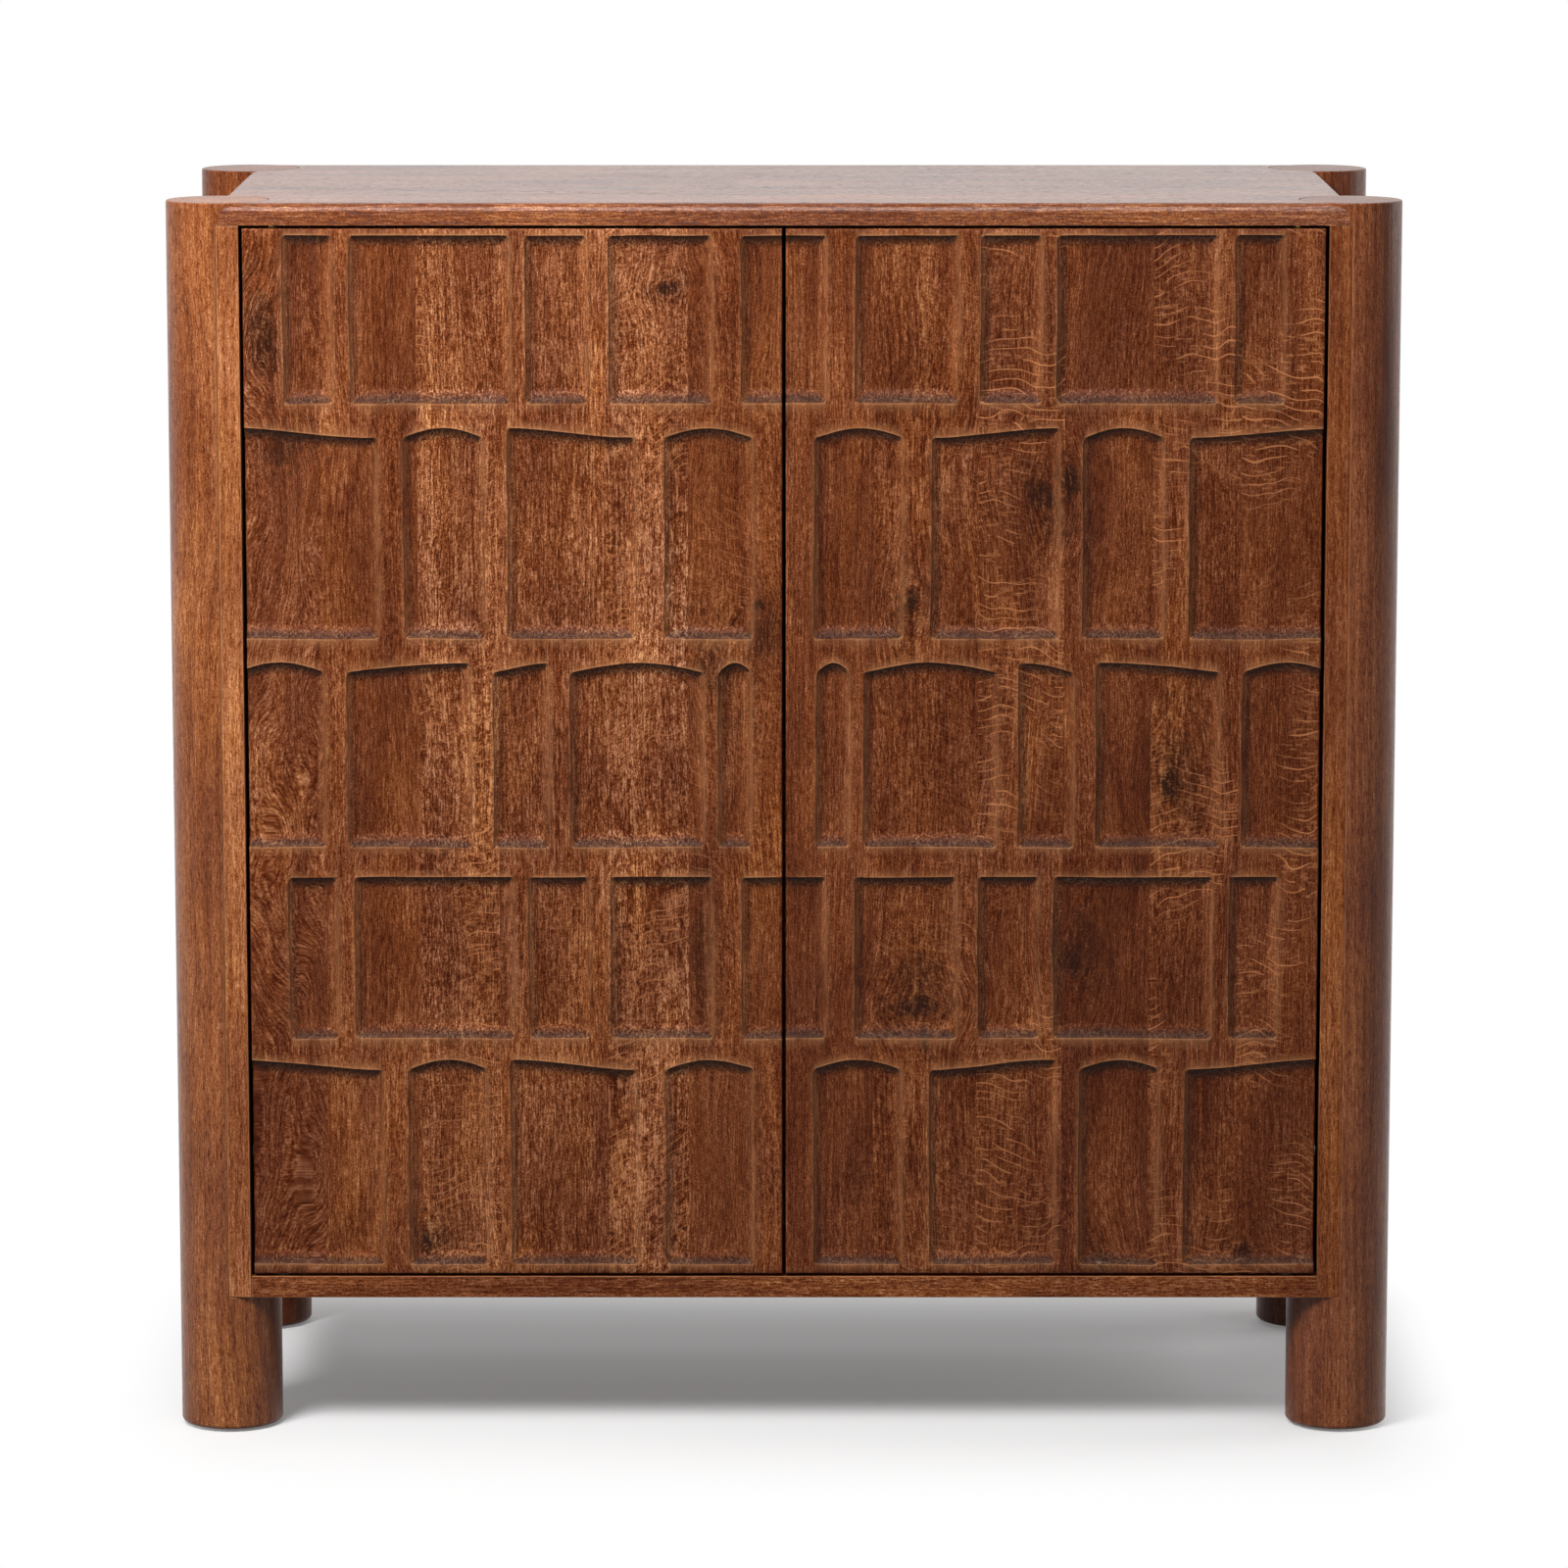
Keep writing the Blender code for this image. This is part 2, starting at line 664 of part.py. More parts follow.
def make_doors(axes):
    bush_hole = BUSH_DIAMETER + 2 * SEAT_GAP
    bush_depth = bush_length() + SEAT_GAP
    for name, side in SIDES:
        low_x, high_x = sorted((side * DOOR_MEETING_GAP / 2, side * DOOR_HINGE_X))
        body = bmesh.new()
        add_box(body, (low_x, FRONT, DOOR_LOW), (high_x, DOOR_BACK, DOOR_HIGH))
        rims = [e for e in body.edges if all(v.co.y < FRONT + SEAT_GAP for v in e.verts)]
        bmesh.ops.bevel(
            body, geom=rims, offset=DOOR_EDGE_EASE, segments=1, profile=0.5, affect="EDGES"
        )
        door = make_piece(f"door_{name}", body, CARVED_OAK, axes[name])
        cut(door, "carving", door_carving(side))
        holes = bmesh.new()
        for level, turn in ((DOOR_HIGH, DOWN), (DOOR_LOW, UP)):
            place = at(side * PIVOT_X, PIVOT_Y, level, turn)
            add_bore(holes, bush_hole, -CUT_MARGIN, bush_depth, place)
        cut(door, "bushes", holes)


def bush_length():
    return PIVOT_PIN_REACH + BUSH_END_PLAY + BUSH_FLOOR


def make_pivots(axes):
    """Plates with pins in the top and bottom panels, and the bushes and washers that turn on them."""
    bore = PIVOT_PIN_DIAMETER / 2 + RUNNING_GAP
    cup = [
        (BUSH_DIAMETER / 2, bush_length()),
        (BUSH_DIAMETER / 2, 0),
        (bore, 0),
        (bore, bush_length() - BUSH_FLOOR),
    ]
    washer = [
        (WASHER_DIAMETER / 2, SEAT_GAP),
        (WASHER_DIAMETER / 2, DOOR_BOTTOM_GAP - SEAT_GAP),
        (bore, DOOR_BOTTOM_GAP - SEAT_GAP),
        (bore, SEAT_GAP),
    ]
    mounts = (
        ("top", CEILING, CEILING, DOWN, DOOR_TOP_GAP, DOOR_HIGH),
        ("bottom", FLOOR, FLOOR - PLATE_THICKNESS, UP, DOOR_BOTTOM_GAP, DOOR_LOW),
    )
    for name, side in SIDES:
        for end, level, plate_low, turn, gap, door_edge in mounts:
            body = bmesh.new()
            plate_box(body, side, plate_low, PLATE_THICKNESS, 0)
            plate = make_piece(f"pivot_plate_{name}_{end}", body, BRASS)
            pin = bmesh.new()
            root = -PLATE_THICKNESS / 2
            place = at(side * PIVOT_X, PIVOT_Y, level, turn)
            add_bore(pin, PIVOT_PIN_DIAMETER, root, gap + PIVOT_PIN_REACH, place)
            combine(plate, "pin", pin, "UNION")
            body = bmesh.new()
            add_turned(body, cup, at(side * PIVOT_X, PIVOT_Y, door_edge, turn))
            make_piece(f"pivot_bush_{name}_{end}", body, BRASS, axes[name])
        body = bmesh.new()
        add_turned(body, washer, at(side * PIVOT_X, PIVOT_Y, FLOOR), ring=True)
        make_piece(f"thrust_washer_{name}", body, DARK_PLASTIC)


def make_latches(axes):
    """Push latches under the top panel, and the strikes on the doors that their plungers meet."""
    strike_face = DOOR_BACK + SEAT_GAP + STRIKE_THICKNESS
    plunger_face = strike_face + SEAT_GAP
    shown = LATCH_FRONT - plunger_face
    plunger = [
        (PLUNGER_TIP_DIAMETER / 2, 0),
        (PLUNGER_TIP_DIAMETER / 2, PLUNGER_TIP_LENGTH),
        (PLUNGER_DIAMETER / 2, PLUNGER_TIP_LENGTH),
        (PLUNGER_DIAMETER / 2, shown + PLUNGER_HELD_LENGTH),
    ]
    bore = PLUNGER_DIAMETER + 2 * RUNNING_GAP
    bore_depth = PLUNGER_HELD_LENGTH + PLUNGER_TRAVEL + RUNNING_GAP
    for name, side in SIDES:
        x = side * LATCH_OFFSET
        body = bmesh.new()
        low = (x - LATCH_WIDTH / 2, LATCH_FRONT, LATCH_Z - LATCH_HEIGHT / 2)
        high = (x + LATCH_WIDTH / 2, LATCH_FRONT + LATCH_LENGTH, LATCH_Z + LATCH_HEIGHT / 2)
        add_box(body, low, high)
        housing = make_piece(f"latch_housing_{name}", body, DARK_PLASTIC)
        hollow = bmesh.new()
        add_bore(hollow, bore, -CUT_MARGIN, bore_depth, at(x, LATCH_FRONT, LATCH_Z, TO_BACK))
        cut(housing, "bore", hollow)
        body = bmesh.new()
        add_turned(body, plunger, at(x, plunger_face, LATCH_Z, TO_BACK))
        make_piece(f"latch_plunger_{name}", body, STEEL, axes[f"{name}_plunger"])
        body = bmesh.new()
        place = at(x, DOOR_BACK, LATCH_Z, TO_BACK)
        add_bore(body, STRIKE_DIAMETER, SEAT_GAP, SEAT_GAP + STRIKE_THICKNESS, place)
        make_piece(f"strike_{name}", body, STEEL, axes[name])


def make_bolts():
    profile = [
        (BOLT_HEAD_DIAMETER / 2, -SEAT_GAP - BOLT_HEAD_HEIGHT),
        (BOLT_HEAD_DIAMETER / 2, -SEAT_GAP),
        (BOLT_DIAMETER / 2, -SEAT_GAP),
        (BOLT_DIAMETER / 2, SIDE_THICKNESS + BOLT_GRIP),
    ]
    for side_name, side in SIDES:
        for end_name, end in ENDS:
            for level, place in zip(("low", "high"), bolt_places(side, end)):
                body = bmesh.new()
                add_turned(body, profile, place, PEG_SIDES)
                make_piece(f"post_bolt_{end_name}_{side_name}_{level}", body, STEEL)


def make_axes():
    """Empties on the axes of the doors and of the latch plungers."""
    axes = {}
    for name, side in SIDES:
        axes[name] = axis_empty(f"door_axis_{name}", side * PIVOT_X, PIVOT_Y, DOOR_LOW)
        key = f"{name}_plunger"
        axes[key] = axis_empty(f"plunger_axis_{name}", side * LATCH_OFFSET, LATCH_FRONT, LATCH_Z)
    return axes


def main():
    clear_scene()
    axes = make_axes()
    make_posts()
    make_glides()
    make_top()
    make_bottom()
    make_sides()
    make_back()
    make_shelves()
    make_stem_rails()
    make_bottle_rails()
    make_doors(axes)
    make_pivots(axes)
    make_latches(axes)
    make_bolts()


main()
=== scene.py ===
"""Bar cabinet in stained oak: carved doors on hidden pivots, hung between four round corner posts."""

from __future__ import annotations

import json
import logging
import math
from dataclasses import dataclass
from enum import Enum
from typing import Iterable, Sequence, Union

import bmesh
import bpy
import numpy as np
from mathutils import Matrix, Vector

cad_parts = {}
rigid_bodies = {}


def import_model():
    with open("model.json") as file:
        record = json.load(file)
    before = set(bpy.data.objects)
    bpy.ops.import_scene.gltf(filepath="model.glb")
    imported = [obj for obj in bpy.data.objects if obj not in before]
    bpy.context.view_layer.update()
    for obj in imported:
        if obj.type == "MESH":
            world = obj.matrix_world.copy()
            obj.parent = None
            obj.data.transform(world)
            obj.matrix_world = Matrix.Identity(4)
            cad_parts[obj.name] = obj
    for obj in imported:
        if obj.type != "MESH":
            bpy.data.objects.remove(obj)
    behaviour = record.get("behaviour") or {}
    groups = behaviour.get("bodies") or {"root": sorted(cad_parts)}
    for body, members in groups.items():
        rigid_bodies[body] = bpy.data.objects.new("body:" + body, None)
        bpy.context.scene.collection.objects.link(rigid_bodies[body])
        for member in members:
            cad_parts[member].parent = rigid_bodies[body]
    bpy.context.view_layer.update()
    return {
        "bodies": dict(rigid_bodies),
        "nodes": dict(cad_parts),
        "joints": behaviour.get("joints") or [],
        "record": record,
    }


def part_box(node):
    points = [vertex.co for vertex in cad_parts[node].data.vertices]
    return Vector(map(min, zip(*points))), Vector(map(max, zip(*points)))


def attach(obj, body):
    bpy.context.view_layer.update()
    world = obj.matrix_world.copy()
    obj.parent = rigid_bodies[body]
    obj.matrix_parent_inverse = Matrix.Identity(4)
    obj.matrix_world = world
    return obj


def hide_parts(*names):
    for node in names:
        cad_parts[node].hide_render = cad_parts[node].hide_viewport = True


LOG = logging.getLogger("bar_cabinet")

SIDES = (("left", -1), ("right", 1))
ENDS = ("front", "back")
TURN = 2 * math.pi

# Wood and lacquer, in metres, apart from the cells of the lacquer, which are per metre
RING_WIDTH = 0.0075
RAY_SPACING = 0.0092
SEED_STEPS = (3.71, 1.37, 7.93)
CRAZE_CELLS = 165.0
GRAIN_RELIEF = 0.0004
BRUSH_RELIEF = 0.00006
SPARK_RELIEF = 0.00010
# Share of the grain's relief that lacquer fills where it lies thick
LACQUER_FILL = 0.7

Colour = tuple[float, float, float]
Feed = Union[bpy.types.NodeSocket, float, Sequence[float]]


class GrainRun(Enum):
    """The way that the grain runs in a piece."""

    UPRIGHT = "upright"
    ACROSS = "across"
    SIDEWAYS = "upright, on a panel that faces a side"
    DEEP = "deep"


class PocketTop(Enum):
    """Line of a carved pocket's upper edge, followed from the hinge side."""

    STRAIGHT = "straight"
    ARCH = "arch"
    RISE = "rise"
    FALL = "fall"


class Graph:
    """A node tree with short ways to add and join nodes."""

    def __init__(self, tree: bpy.types.NodeTree) -> None:
        """Keep the tree that nodes are added to.

        Args:
            tree: The material's or group's node tree.
        """
        self.tree = tree

    def add(self, kind: str, **settings: object) -> bpy.types.Node:
        """Add a node.

        Args:
            kind: Blender's name of the node type.
            **settings: Attributes to set on the node.

        Returns:
            The new node.
        """
        node = self.tree.nodes.new(kind)
        for name, value in settings.items():
            setattr(node, name, value)
        return node

    def feed(self, socket: bpy.types.NodeSocket, value: Feed) -> None:
        """Link a socket to another one, or set its plain value.

        Args:
            socket: The input to fill.
            value: An output socket, a number or a row of numbers.
        """
        if isinstance(value, bpy.types.NodeSocket):
            self.tree.links.new(value, socket)
        else:
            socket.default_value = value

    def math(self, operation: str, *values: Feed, clamp: bool = False) -> bpy.types.NodeSocket:
        """Add a Math node.

        Args:
            operation: Blender's name of the operation.
            *values: What the inputs get, in order.
            clamp: Whether the result is kept between 0 and 1.

        Returns:
            The result's socket.
        """
        node = self.add("ShaderNodeMath", operation=operation, use_clamp=clamp)
        for socket, value in zip(node.inputs, values):
            self.feed(socket, value)
        return node.outputs[0]

    def total(self, *terms: tuple[Feed, float]) -> bpy.types.NodeSocket:
        """Add up values, each times a plain weight.

        Args:
            *terms: Pairs of a value and its weight.

        Returns:
            The sum's socket.
        """
        result: Feed = 0.0
        for value, weight in terms:
            result = self.math("MULTIPLY_ADD", value, weight, result)
        return result

    def vector(self, x: Feed, y: Feed, z: Feed) -> bpy.types.NodeSocket:
        """Join three values to a vector.

        Args:
            x: First value.
            y: Second value.
            z: Third value.

        Returns:
            The vector's socket.
        """
        node = self.add("ShaderNodeCombineXYZ")
        for socket, value in zip(node.inputs, (x, y, z)):
            self.feed(socket, value)
        return node.outputs[0]

    def split(self, vector: Feed) -> tuple[bpy.types.NodeSocket, ...]:
        """Part a vector into its three values.

        Args:
            vector: The vector's socket.

        Returns:
            The three sockets.
        """
        node = self.add("ShaderNodeSeparateXYZ")
        self.feed(node.inputs[0], vector)
        return tuple(node.outputs)

    def distance(self, x: Feed, y: Feed) -> bpy.types.NodeSocket:
        """Find how far a point is from an axis.

        Args:
            x: Its place across the axis.
            y: Its place across both.

        Returns:
            The distance's socket.
        """
        return self.math("SQRT", self.math("ADD", self.math("POWER", x, 2), self.math("POWER", y, 2)))

    def noise(
        self, place: Feed, stretch: Sequence[float], detail: float = 2.0, rough: float = 0.5
    ) -> bpy.types.NodeSocket:
        """Add a noise field.

        Args:
            place: Coordinates in metres.
            stretch: Cycles per metre along each axis.
            detail: Octaves of the field.
            rough: Share that each octave keeps.

        Returns:
            The field's socket, from 0 to 1.
        """
        scaled = self.add("ShaderNodeVectorMath", operation="MULTIPLY")
        self.feed(scaled.inputs[0], place)
        scaled.inputs[1].default_value = stretch
        node = self.add("ShaderNodeTexNoise", noise_dimensions="3D")
        self.feed(node.inputs["Vector"], scaled.outputs[0])
        node.inputs["Scale"].default_value = 1.0
        node.inputs["Detail"].default_value = detail
        node.inputs["Roughness"].default_value = rough
        return node.outputs[0]

    def rise(self, value: Feed, low: float, high: float) -> bpy.types.NodeSocket:
        """Ease a value from 0 at one level to 1 at another.

        Args:
            value: The value to ease.
            low: Level that gives 0.
            high: Level that gives 1.

        Returns:
            The eased socket.
        """
        node = self.add("ShaderNodeMapRange", interpolation_type="SMOOTHSTEP")
        self.feed(node.inputs["Value"], value)
        node.inputs["From Min"].default_value = low
        node.inputs["From Max"].default_value = high
        return node.outputs[0]

    def ramp(
        self, value: Feed, stops: Sequence[tuple[float, Sequence[float]]], steps: bool = False
    ) -> bpy.types.Node:
        """Add a colour ramp.

        Args:
            value: Where on the ramp, from 0 to 1.
            stops: Places and their colours, of three or four numbers.
            steps: Whether a colour holds up to the next stop.

        Returns:
            The ramp's node.
        """
        node = self.add("ShaderNodeValToRGB")
        ramp = node.color_ramp
        ramp.interpolation = "CONSTANT" if steps else "LINEAR"
        for index, (place, colour) in enumerate(stops):
            stop = ramp.elements[index] if index < 2 else ramp.elements.new(place)
            stop.position = place
            stop.color = tuple(colour) if len(colour) == 4 else (*colour, 1.0)
        self.feed(node.inputs[0], value)
        return node

    def mix(self, share: Feed, first: Feed, second: Feed, blend: str = "MIX") -> bpy.types.NodeSocket:
        """Mix two colours.

        Args:
            share: How much of the second colour.
            first: The colour below.
            second: The colour on top.
            blend: Blender's name of the blend mode.

        Returns:
            The mixed colour's socket.
        """
        node = self.add("ShaderNodeMix", data_type="RGBA", blend_type=blend)
        for index, value in ((0, share), (6, first), (7, second)):
            if index and not isinstance(value, bpy.types.NodeSocket):
                value = (*value, 1.0)
            self.feed(node.inputs[index], value)
        return node.outputs[2]

    def place(self, group: bpy.types.NodeTree, **values: Feed) -> bpy.types.Node:
        """Place a node group and feed its inputs by name.

        Args:
            group: The shared node group.
            **values: Inputs by their names, with _ for a space.

        Returns:
            The group's node.
        """
        node = self.add("ShaderNodeGroup", node_tree=group)
        for name, value in values.items():
            self.feed(node.inputs[name.replace("_", " ")], value)
        return node


class Effect(Graph):
    """A shared shader node group with named inputs and outputs."""

    def __init__(
        self, name: str, inputs: Sequence[tuple[str, str]], outputs: Sequence[tuple[str, str]]
    ) -> None:
        """Make the empty group.

        Args:
            name: The group's name.
            inputs: Names and kinds of what goes in.
            outputs: Names and kinds of what comes out.
        """
        super().__init__(bpy.data.node_groups.new(name, "ShaderNodeTree"))
        for direction, sockets in (("INPUT", inputs), ("OUTPUT", outputs)):
            for label, kind in sockets:
                self.tree.interface.new_socket(
                    name=label, in_out=direction, socket_type=f"NodeSocket{kind}"
                )
        self.given = self.add("NodeGroupInput").outputs
        self.result = self.add("NodeGroupOutput").inputs

    def put_out(self, **values: Feed) -> bpy.types.NodeTree:
        """Lead values to the group's outputs.

        Args:
            **values: What each output gets, by its name.

        Returns:
            The finished group's tree.
        """
        for name, value in values.items():
            self.feed(self.result[name], value)
        return self.tree


class Effects:
    """The shared groups, each built once."""

    def __init__(self) -> None:
        """Build every group."""
        self.grain = self.oak_grain()
        self.fleck = self.ray_fleck()
        self.knot = self.oak_knot()
        self.stain = self.oak_stain()
        self.wear_and_highlight = self.edge_wear_and_highlight()
        self.crackle = self.lacquer_crackle()
        self.brushed = self.brushed_metal()
        self.moulded = self.moulded_plastic()

    @staticmethod
    def oak_grain() -> bpy.types.NodeTree:
        """Growth rings, streaks and pores of oak.

        Returns:
            The group's tree.
        """
        fx = Effect(
            "oak_grain",
            [("Place", "Vector")]
            + [(name, "Float") for name in ("Seed", "Curl", "Swirl", "Streak", "Ripple", "Contrast")],
            [(name, "Float") for name in ("Tone", "Figure", "Pores", "Strand", "Warmth", "Height")],
        )
        x, y, z = fx.split(fx.given["Place"])
        seed, swirl = fx.given["Seed"], fx.given["Swirl"]
        chance = fx.add("ShaderNodeTexWhiteNoise", noise_dimensions="1D")
        fx.feed(chance.inputs["W"], seed)
        chances = fx.split(chance.outputs["Color"])
        own_x, own_y, own_z = (
            fx.math("MULTIPLY_ADD", seed, step, way) for way, step in zip((x, y, z), SEED_STEPS)
        )
        shifted = fx.vector(own_x, own_y, own_z)
        bend = fx.noise(shifted, (9, 9, 3.5), 2.0)
        ring_x = fx.total((x, 1), (chances[0], 0.10), (-0.05, 1))
        ring_y = fx.total((y, 1), (chances[1], 0.05), (0.012, 1))
        radius = fx.distance(ring_x, ring_y)
        lean = fx.math("MULTIPLY", fx.math("MULTIPLY_ADD", chances[2], 0.09, -0.045), z)
        depth = fx.total((radius, 1), (lean, 1), (bend, 0.026), (swirl, 1))
        wave = fx.math("COSINE", fx.math("MULTIPLY", depth, TURN / RING_WIDTH))
        early = fx.math("POWER", fx.math("MULTIPLY_ADD", wave, 0.5, 0.5), 2.5)
        curled = fx.math("MULTIPLY", bend, fx.given["Curl"])
        bent = fx.vector(fx.total((own_x, 1), (curled, 1), (swirl, 0.8)), own_y, own_z)
        streak = fx.noise(bent, (190, 190, 8), 3.0, 0.65)
        hair = fx.noise(bent, (640, 640, 13), 1.0)
        dash = fx.noise(bent, (880, 880, 125), 1.0)
        speck = fx.noise(bent, (920, 920, 600), 1.0)
        warmth = fx.noise(shifted, (24, 24, 7), 4.0, 0.72)
        cloud = fx.noise(bent, (19, 19, 4.5), 3.0, 0.62)
        fine = fx.total((hair, 1.00), (dash, 1.60), (speck, 1.60), (-2.10, 1))
        sway = fx.noise(shifted, (60, 60, 42), 2.0, 0.6)
        drift = fx.noise(shifted, (34, 34, 26), 2.0, 0.6)
        flame_x = fx.math("MULTIPLY_ADD", sway, 0.050, own_x)
        flame_z = fx.math("MULTIPLY_ADD", drift, 0.100, own_z)
        flame = fx.vector(flame_x, own_y, flame_z)
        ripple = fx.math("SUBTRACT", fx.noise(flame, (170, 170, 62), 2.0, 0.6), 0.5)
        patchy = fx.rise(fx.noise(shifted, (2.5, 2.5, 5.5), 1.0), 0.36, 0.60)
        ripple = fx.math("MULTIPLY", ripple, fx.math("MULTIPLY_ADD", patchy, 0.75, 0.25))
        rippled = fx.math("MULTIPLY_ADD", ripple, fx.given["Ripple"], 0.49)
        tone = fx.math("MULTIPLY_ADD", fine, fx.given["Contrast"], rippled)
        coarse = fx.math("MULTIPLY", fx.math("SUBTRACT", streak, 0.5), fx.given["Streak"])
        figure = fx.total((cloud, 1.15), (coarse, 1), (early, -0.12), (-0.535, 1))
        thin = fx.math("SUBTRACT", 1.0, fx.rise(dash, 0.26, 0.42))
        pores = fx.math("MULTIPLY", thin, fx.math("MULTIPLY_ADD", early, 0.6, 0.4))
        warmer = fx.total((warmth, 1), (chances[0], 0.16), (-0.08, 1))
        return fx.put_out(
            Tone=tone,
            Figure=figure,
            Pores=pores,
            Strand=hair,
            Warmth=fx.rise(warmer, 0.28, 0.72),
            Height=fx.total((pores, -0.6), (dash, 0.3), (hair, 1.1), (streak, 0.4)),
        )

    @staticmethod
    def ray_fleck() -> bpy.types.NodeTree:
        """Pale wavy lines across the grain, where a board is cut along its rays.

        Returns:
            The group's tree.
        """
        fx = Effect(
            "ray_fleck",
            [("Place", "Vector"), ("Seed", "Float"), ("Amount", "Float")],
            [("Mask", "Float")],
        )
        x, y, z = fx.split(fx.given["Place"])
        seed = fx.given["Seed"]
        shifted = fx.vector(fx.math("MULTIPLY_ADD", seed, 5.3, x), y, fx.math("MULTIPLY_ADD", seed, 2.9, z))
        chance = fx.add("ShaderNodeTexWhiteNoise", noise_dimensions="1D")
        fx.feed(chance.inputs["W"], seed)
        lean = fx.math("MULTIPLY", fx.math("MULTIPLY_ADD", chance.outputs["Value"], 1.6, -0.8), x)
        hump = fx.noise(shifted, (21, 21, 7), 1.0)
        jitter = fx.noise(shifted, (14, 14, 42), 1.0)
        phase = fx.total((z, 1), (lean, 1), (hump, 0.050), (jitter, 0.014))
        line = fx.rise(fx.math("COSINE", fx.math("MULTIPLY", phase, TURN / RAY_SPACING)), 0.90, 0.99)
        broken = fx.rise(fx.noise(shifted, (30, 30, 80), 1.0), 0.44, 0.52)
        patch = fx.rise(fx.noise(shifted, (9, 9, 7), 1.0), 0.44, 0.56)
        flake = fx.rise(fx.noise(shifted, (120, 120, 420), 1.0), 0.56, 0.70)
        marks = fx.total((fx.math("MULTIPLY", line, broken), 1), (flake, 0.45))
        held = fx.math("MULTIPLY", patch, fx.given["Amount"])
        return fx.put_out(Mask=fx.math("MULTIPLY", marks, held, clamp=True))

    @staticmethod
    def oak_knot() -> bpy.types.NodeTree:
        """A knot: its dark heart, and how far it bends the rings around it.

        Returns:
            The group's tree.
        """
        fx = Effect(
            "oak_knot",
            [("Place", "Vector"), ("Centre", "Vector"), ("Size", "Vector"), ("Lean", "Float")],
            [("Dark", "Float"), ("Swirl", "Float")],
        )
        away = fx.add("ShaderNodeVectorMath", operation="SUBTRACT")
        fx.feed(away.inputs[0], fx.given["Place"])
        fx.feed(away.inputs[1], fx.given["Centre"])
        turned = fx.add("ShaderNodeVectorRotate", rotation_type="Y_AXIS")
        fx.feed(turned.inputs["Vector"], away.outputs[0])
        fx.feed(turned.inputs["Angle"], fx.given["Lean"])
        x = fx.split(away.outputs[0])[0]
        shares = fx.add("ShaderNodeVectorMath", operation="DIVIDE")
        fx.feed(shares.inputs[0], turned.outputs[0])
        fx.feed(shares.inputs[1], fx.given["Size"])
        length = fx.add("ShaderNodeVectorMath", operation="LENGTH")
        fx.feed(length.inputs[0], shares.outputs[0])
        far = length.outputs["Value"]
        ragged = fx.noise(fx.given["Place"], (130, 130, 60), 3.0, 0.6)
        edge = fx.total((far, 1), (ragged, 1.6), (-0.80, 1))
        pull = fx.math("EXPONENT", fx.math("MULTIPLY", fx.math("POWER", far, 2), -0.16))
        ring = fx.math("COSINE", fx.math("MULTIPLY", edge, 8.5))
        core = fx.math("SUBTRACT", 1.0, fx.rise(edge, 0.35, 1.20))
        halo = fx.math("SUBTRACT", 1.0, fx.rise(edge, 0.60, 2.30))
        rings = fx.math("MULTIPLY", halo, fx.math("MULTIPLY_ADD", ring, 0.36, 0.42))
        swirl = fx.math("MULTIPLY", pull, fx.math("MULTIPLY", x, -0.58))
        return fx.put_out(Dark=fx.math("MAXIMUM", core, rings), Swirl=swirl)

    @staticmethod
    def oak_stain() -> bpy.types.NodeTree:
        """Brown stain under satin lacquer, over the wood's own tones, with painted shade and painted
        highlight in the carving.

        Returns:
            The group's tree.
        """
        wood = ("Tone", "Figure", "Pores", "Strand", "Warmth", "Fleck", "Knot")
        # The hollow input is painted shade; glaze and wear carry painted shade and painted highlight as well
        # as real glaze and wear.
        finish = ("Hollow", "Glaze", "Polish", "Wear", "Crackle")
        fx = Effect(
            "oak_stain",
            [(name, "Float") for name in wood + finish],
            [("Color", "Color"), ("Roughness", "Float")],
        )
        tone, figure, pores, strand, warmth, fleck, knot = (fx.given[name] for name in wood)
        hollow_shade, glaze_and_shade, polish, wear_and_highlight, crackle = (fx.given[name] for name in finish)
        stops = (
            (0.00, (0.048, 0.0062, 0.0008)),
            (0.20, (0.088, 0.0150, 0.0020)),
            (0.40, (0.142, 0.0338, 0.0092)),
            (0.52, (0.184, 0.0500, 0.0162)),
            (0.68, (0.244, 0.0782, 0.0290)),
            (0.84, (0.326, 0.1200, 0.0510)),
            (1.00, (0.440, 0.1880, 0.0900)),
        )
        tint = fx.mix(warmth, (1.0, 1.03, 1.17), (1.0, 0.97, 0.80))
        paces = (1.75, 2.3, 2.4)
        depth = fx.vector(*(fx.math("EXPONENT", fx.math("MULTIPLY", figure, pace)) for pace in paces))
        colour = fx.mix(1.0, fx.ramp(tone, stops).outputs[0], tint, "MULTIPLY")
        colour = fx.mix(1.0, colour, depth, "MULTIPLY")
        colour = fx.mix(fx.math("MULTIPLY", pores, 0.4), colour, (0.050, 0.0085, 0.0016))
        colour = fx.mix(fx.math("MULTIPLY", fleck, 0.8), colour, (0.560, 0.2200, 0.0880))
        burnt = fx.math("MULTIPLY", knot, fx.total((tone, -0.7), (1.25, 1)), clamp=True)
        colour = fx.mix(burnt, colour, (0.020, 0.0055, 0.0022))
        # Painted shade: the colour darkens the deeper the carving sinks.
        colour = fx.mix(fx.math("MULTIPLY", hollow_shade, 0.16), colour, (0.050, 0.0120, 0.0040))
        # Dark glaze and painted shade on the pocket slopes, most on the downward-facing brows.
        streaky = fx.math("MULTIPLY", glaze_and_shade, fx.total((strand, -0.70), (1.24, 1)), clamp=True)
        colour = fx.mix(streaky, colour, (0.018, 0.0060, 0.0034))
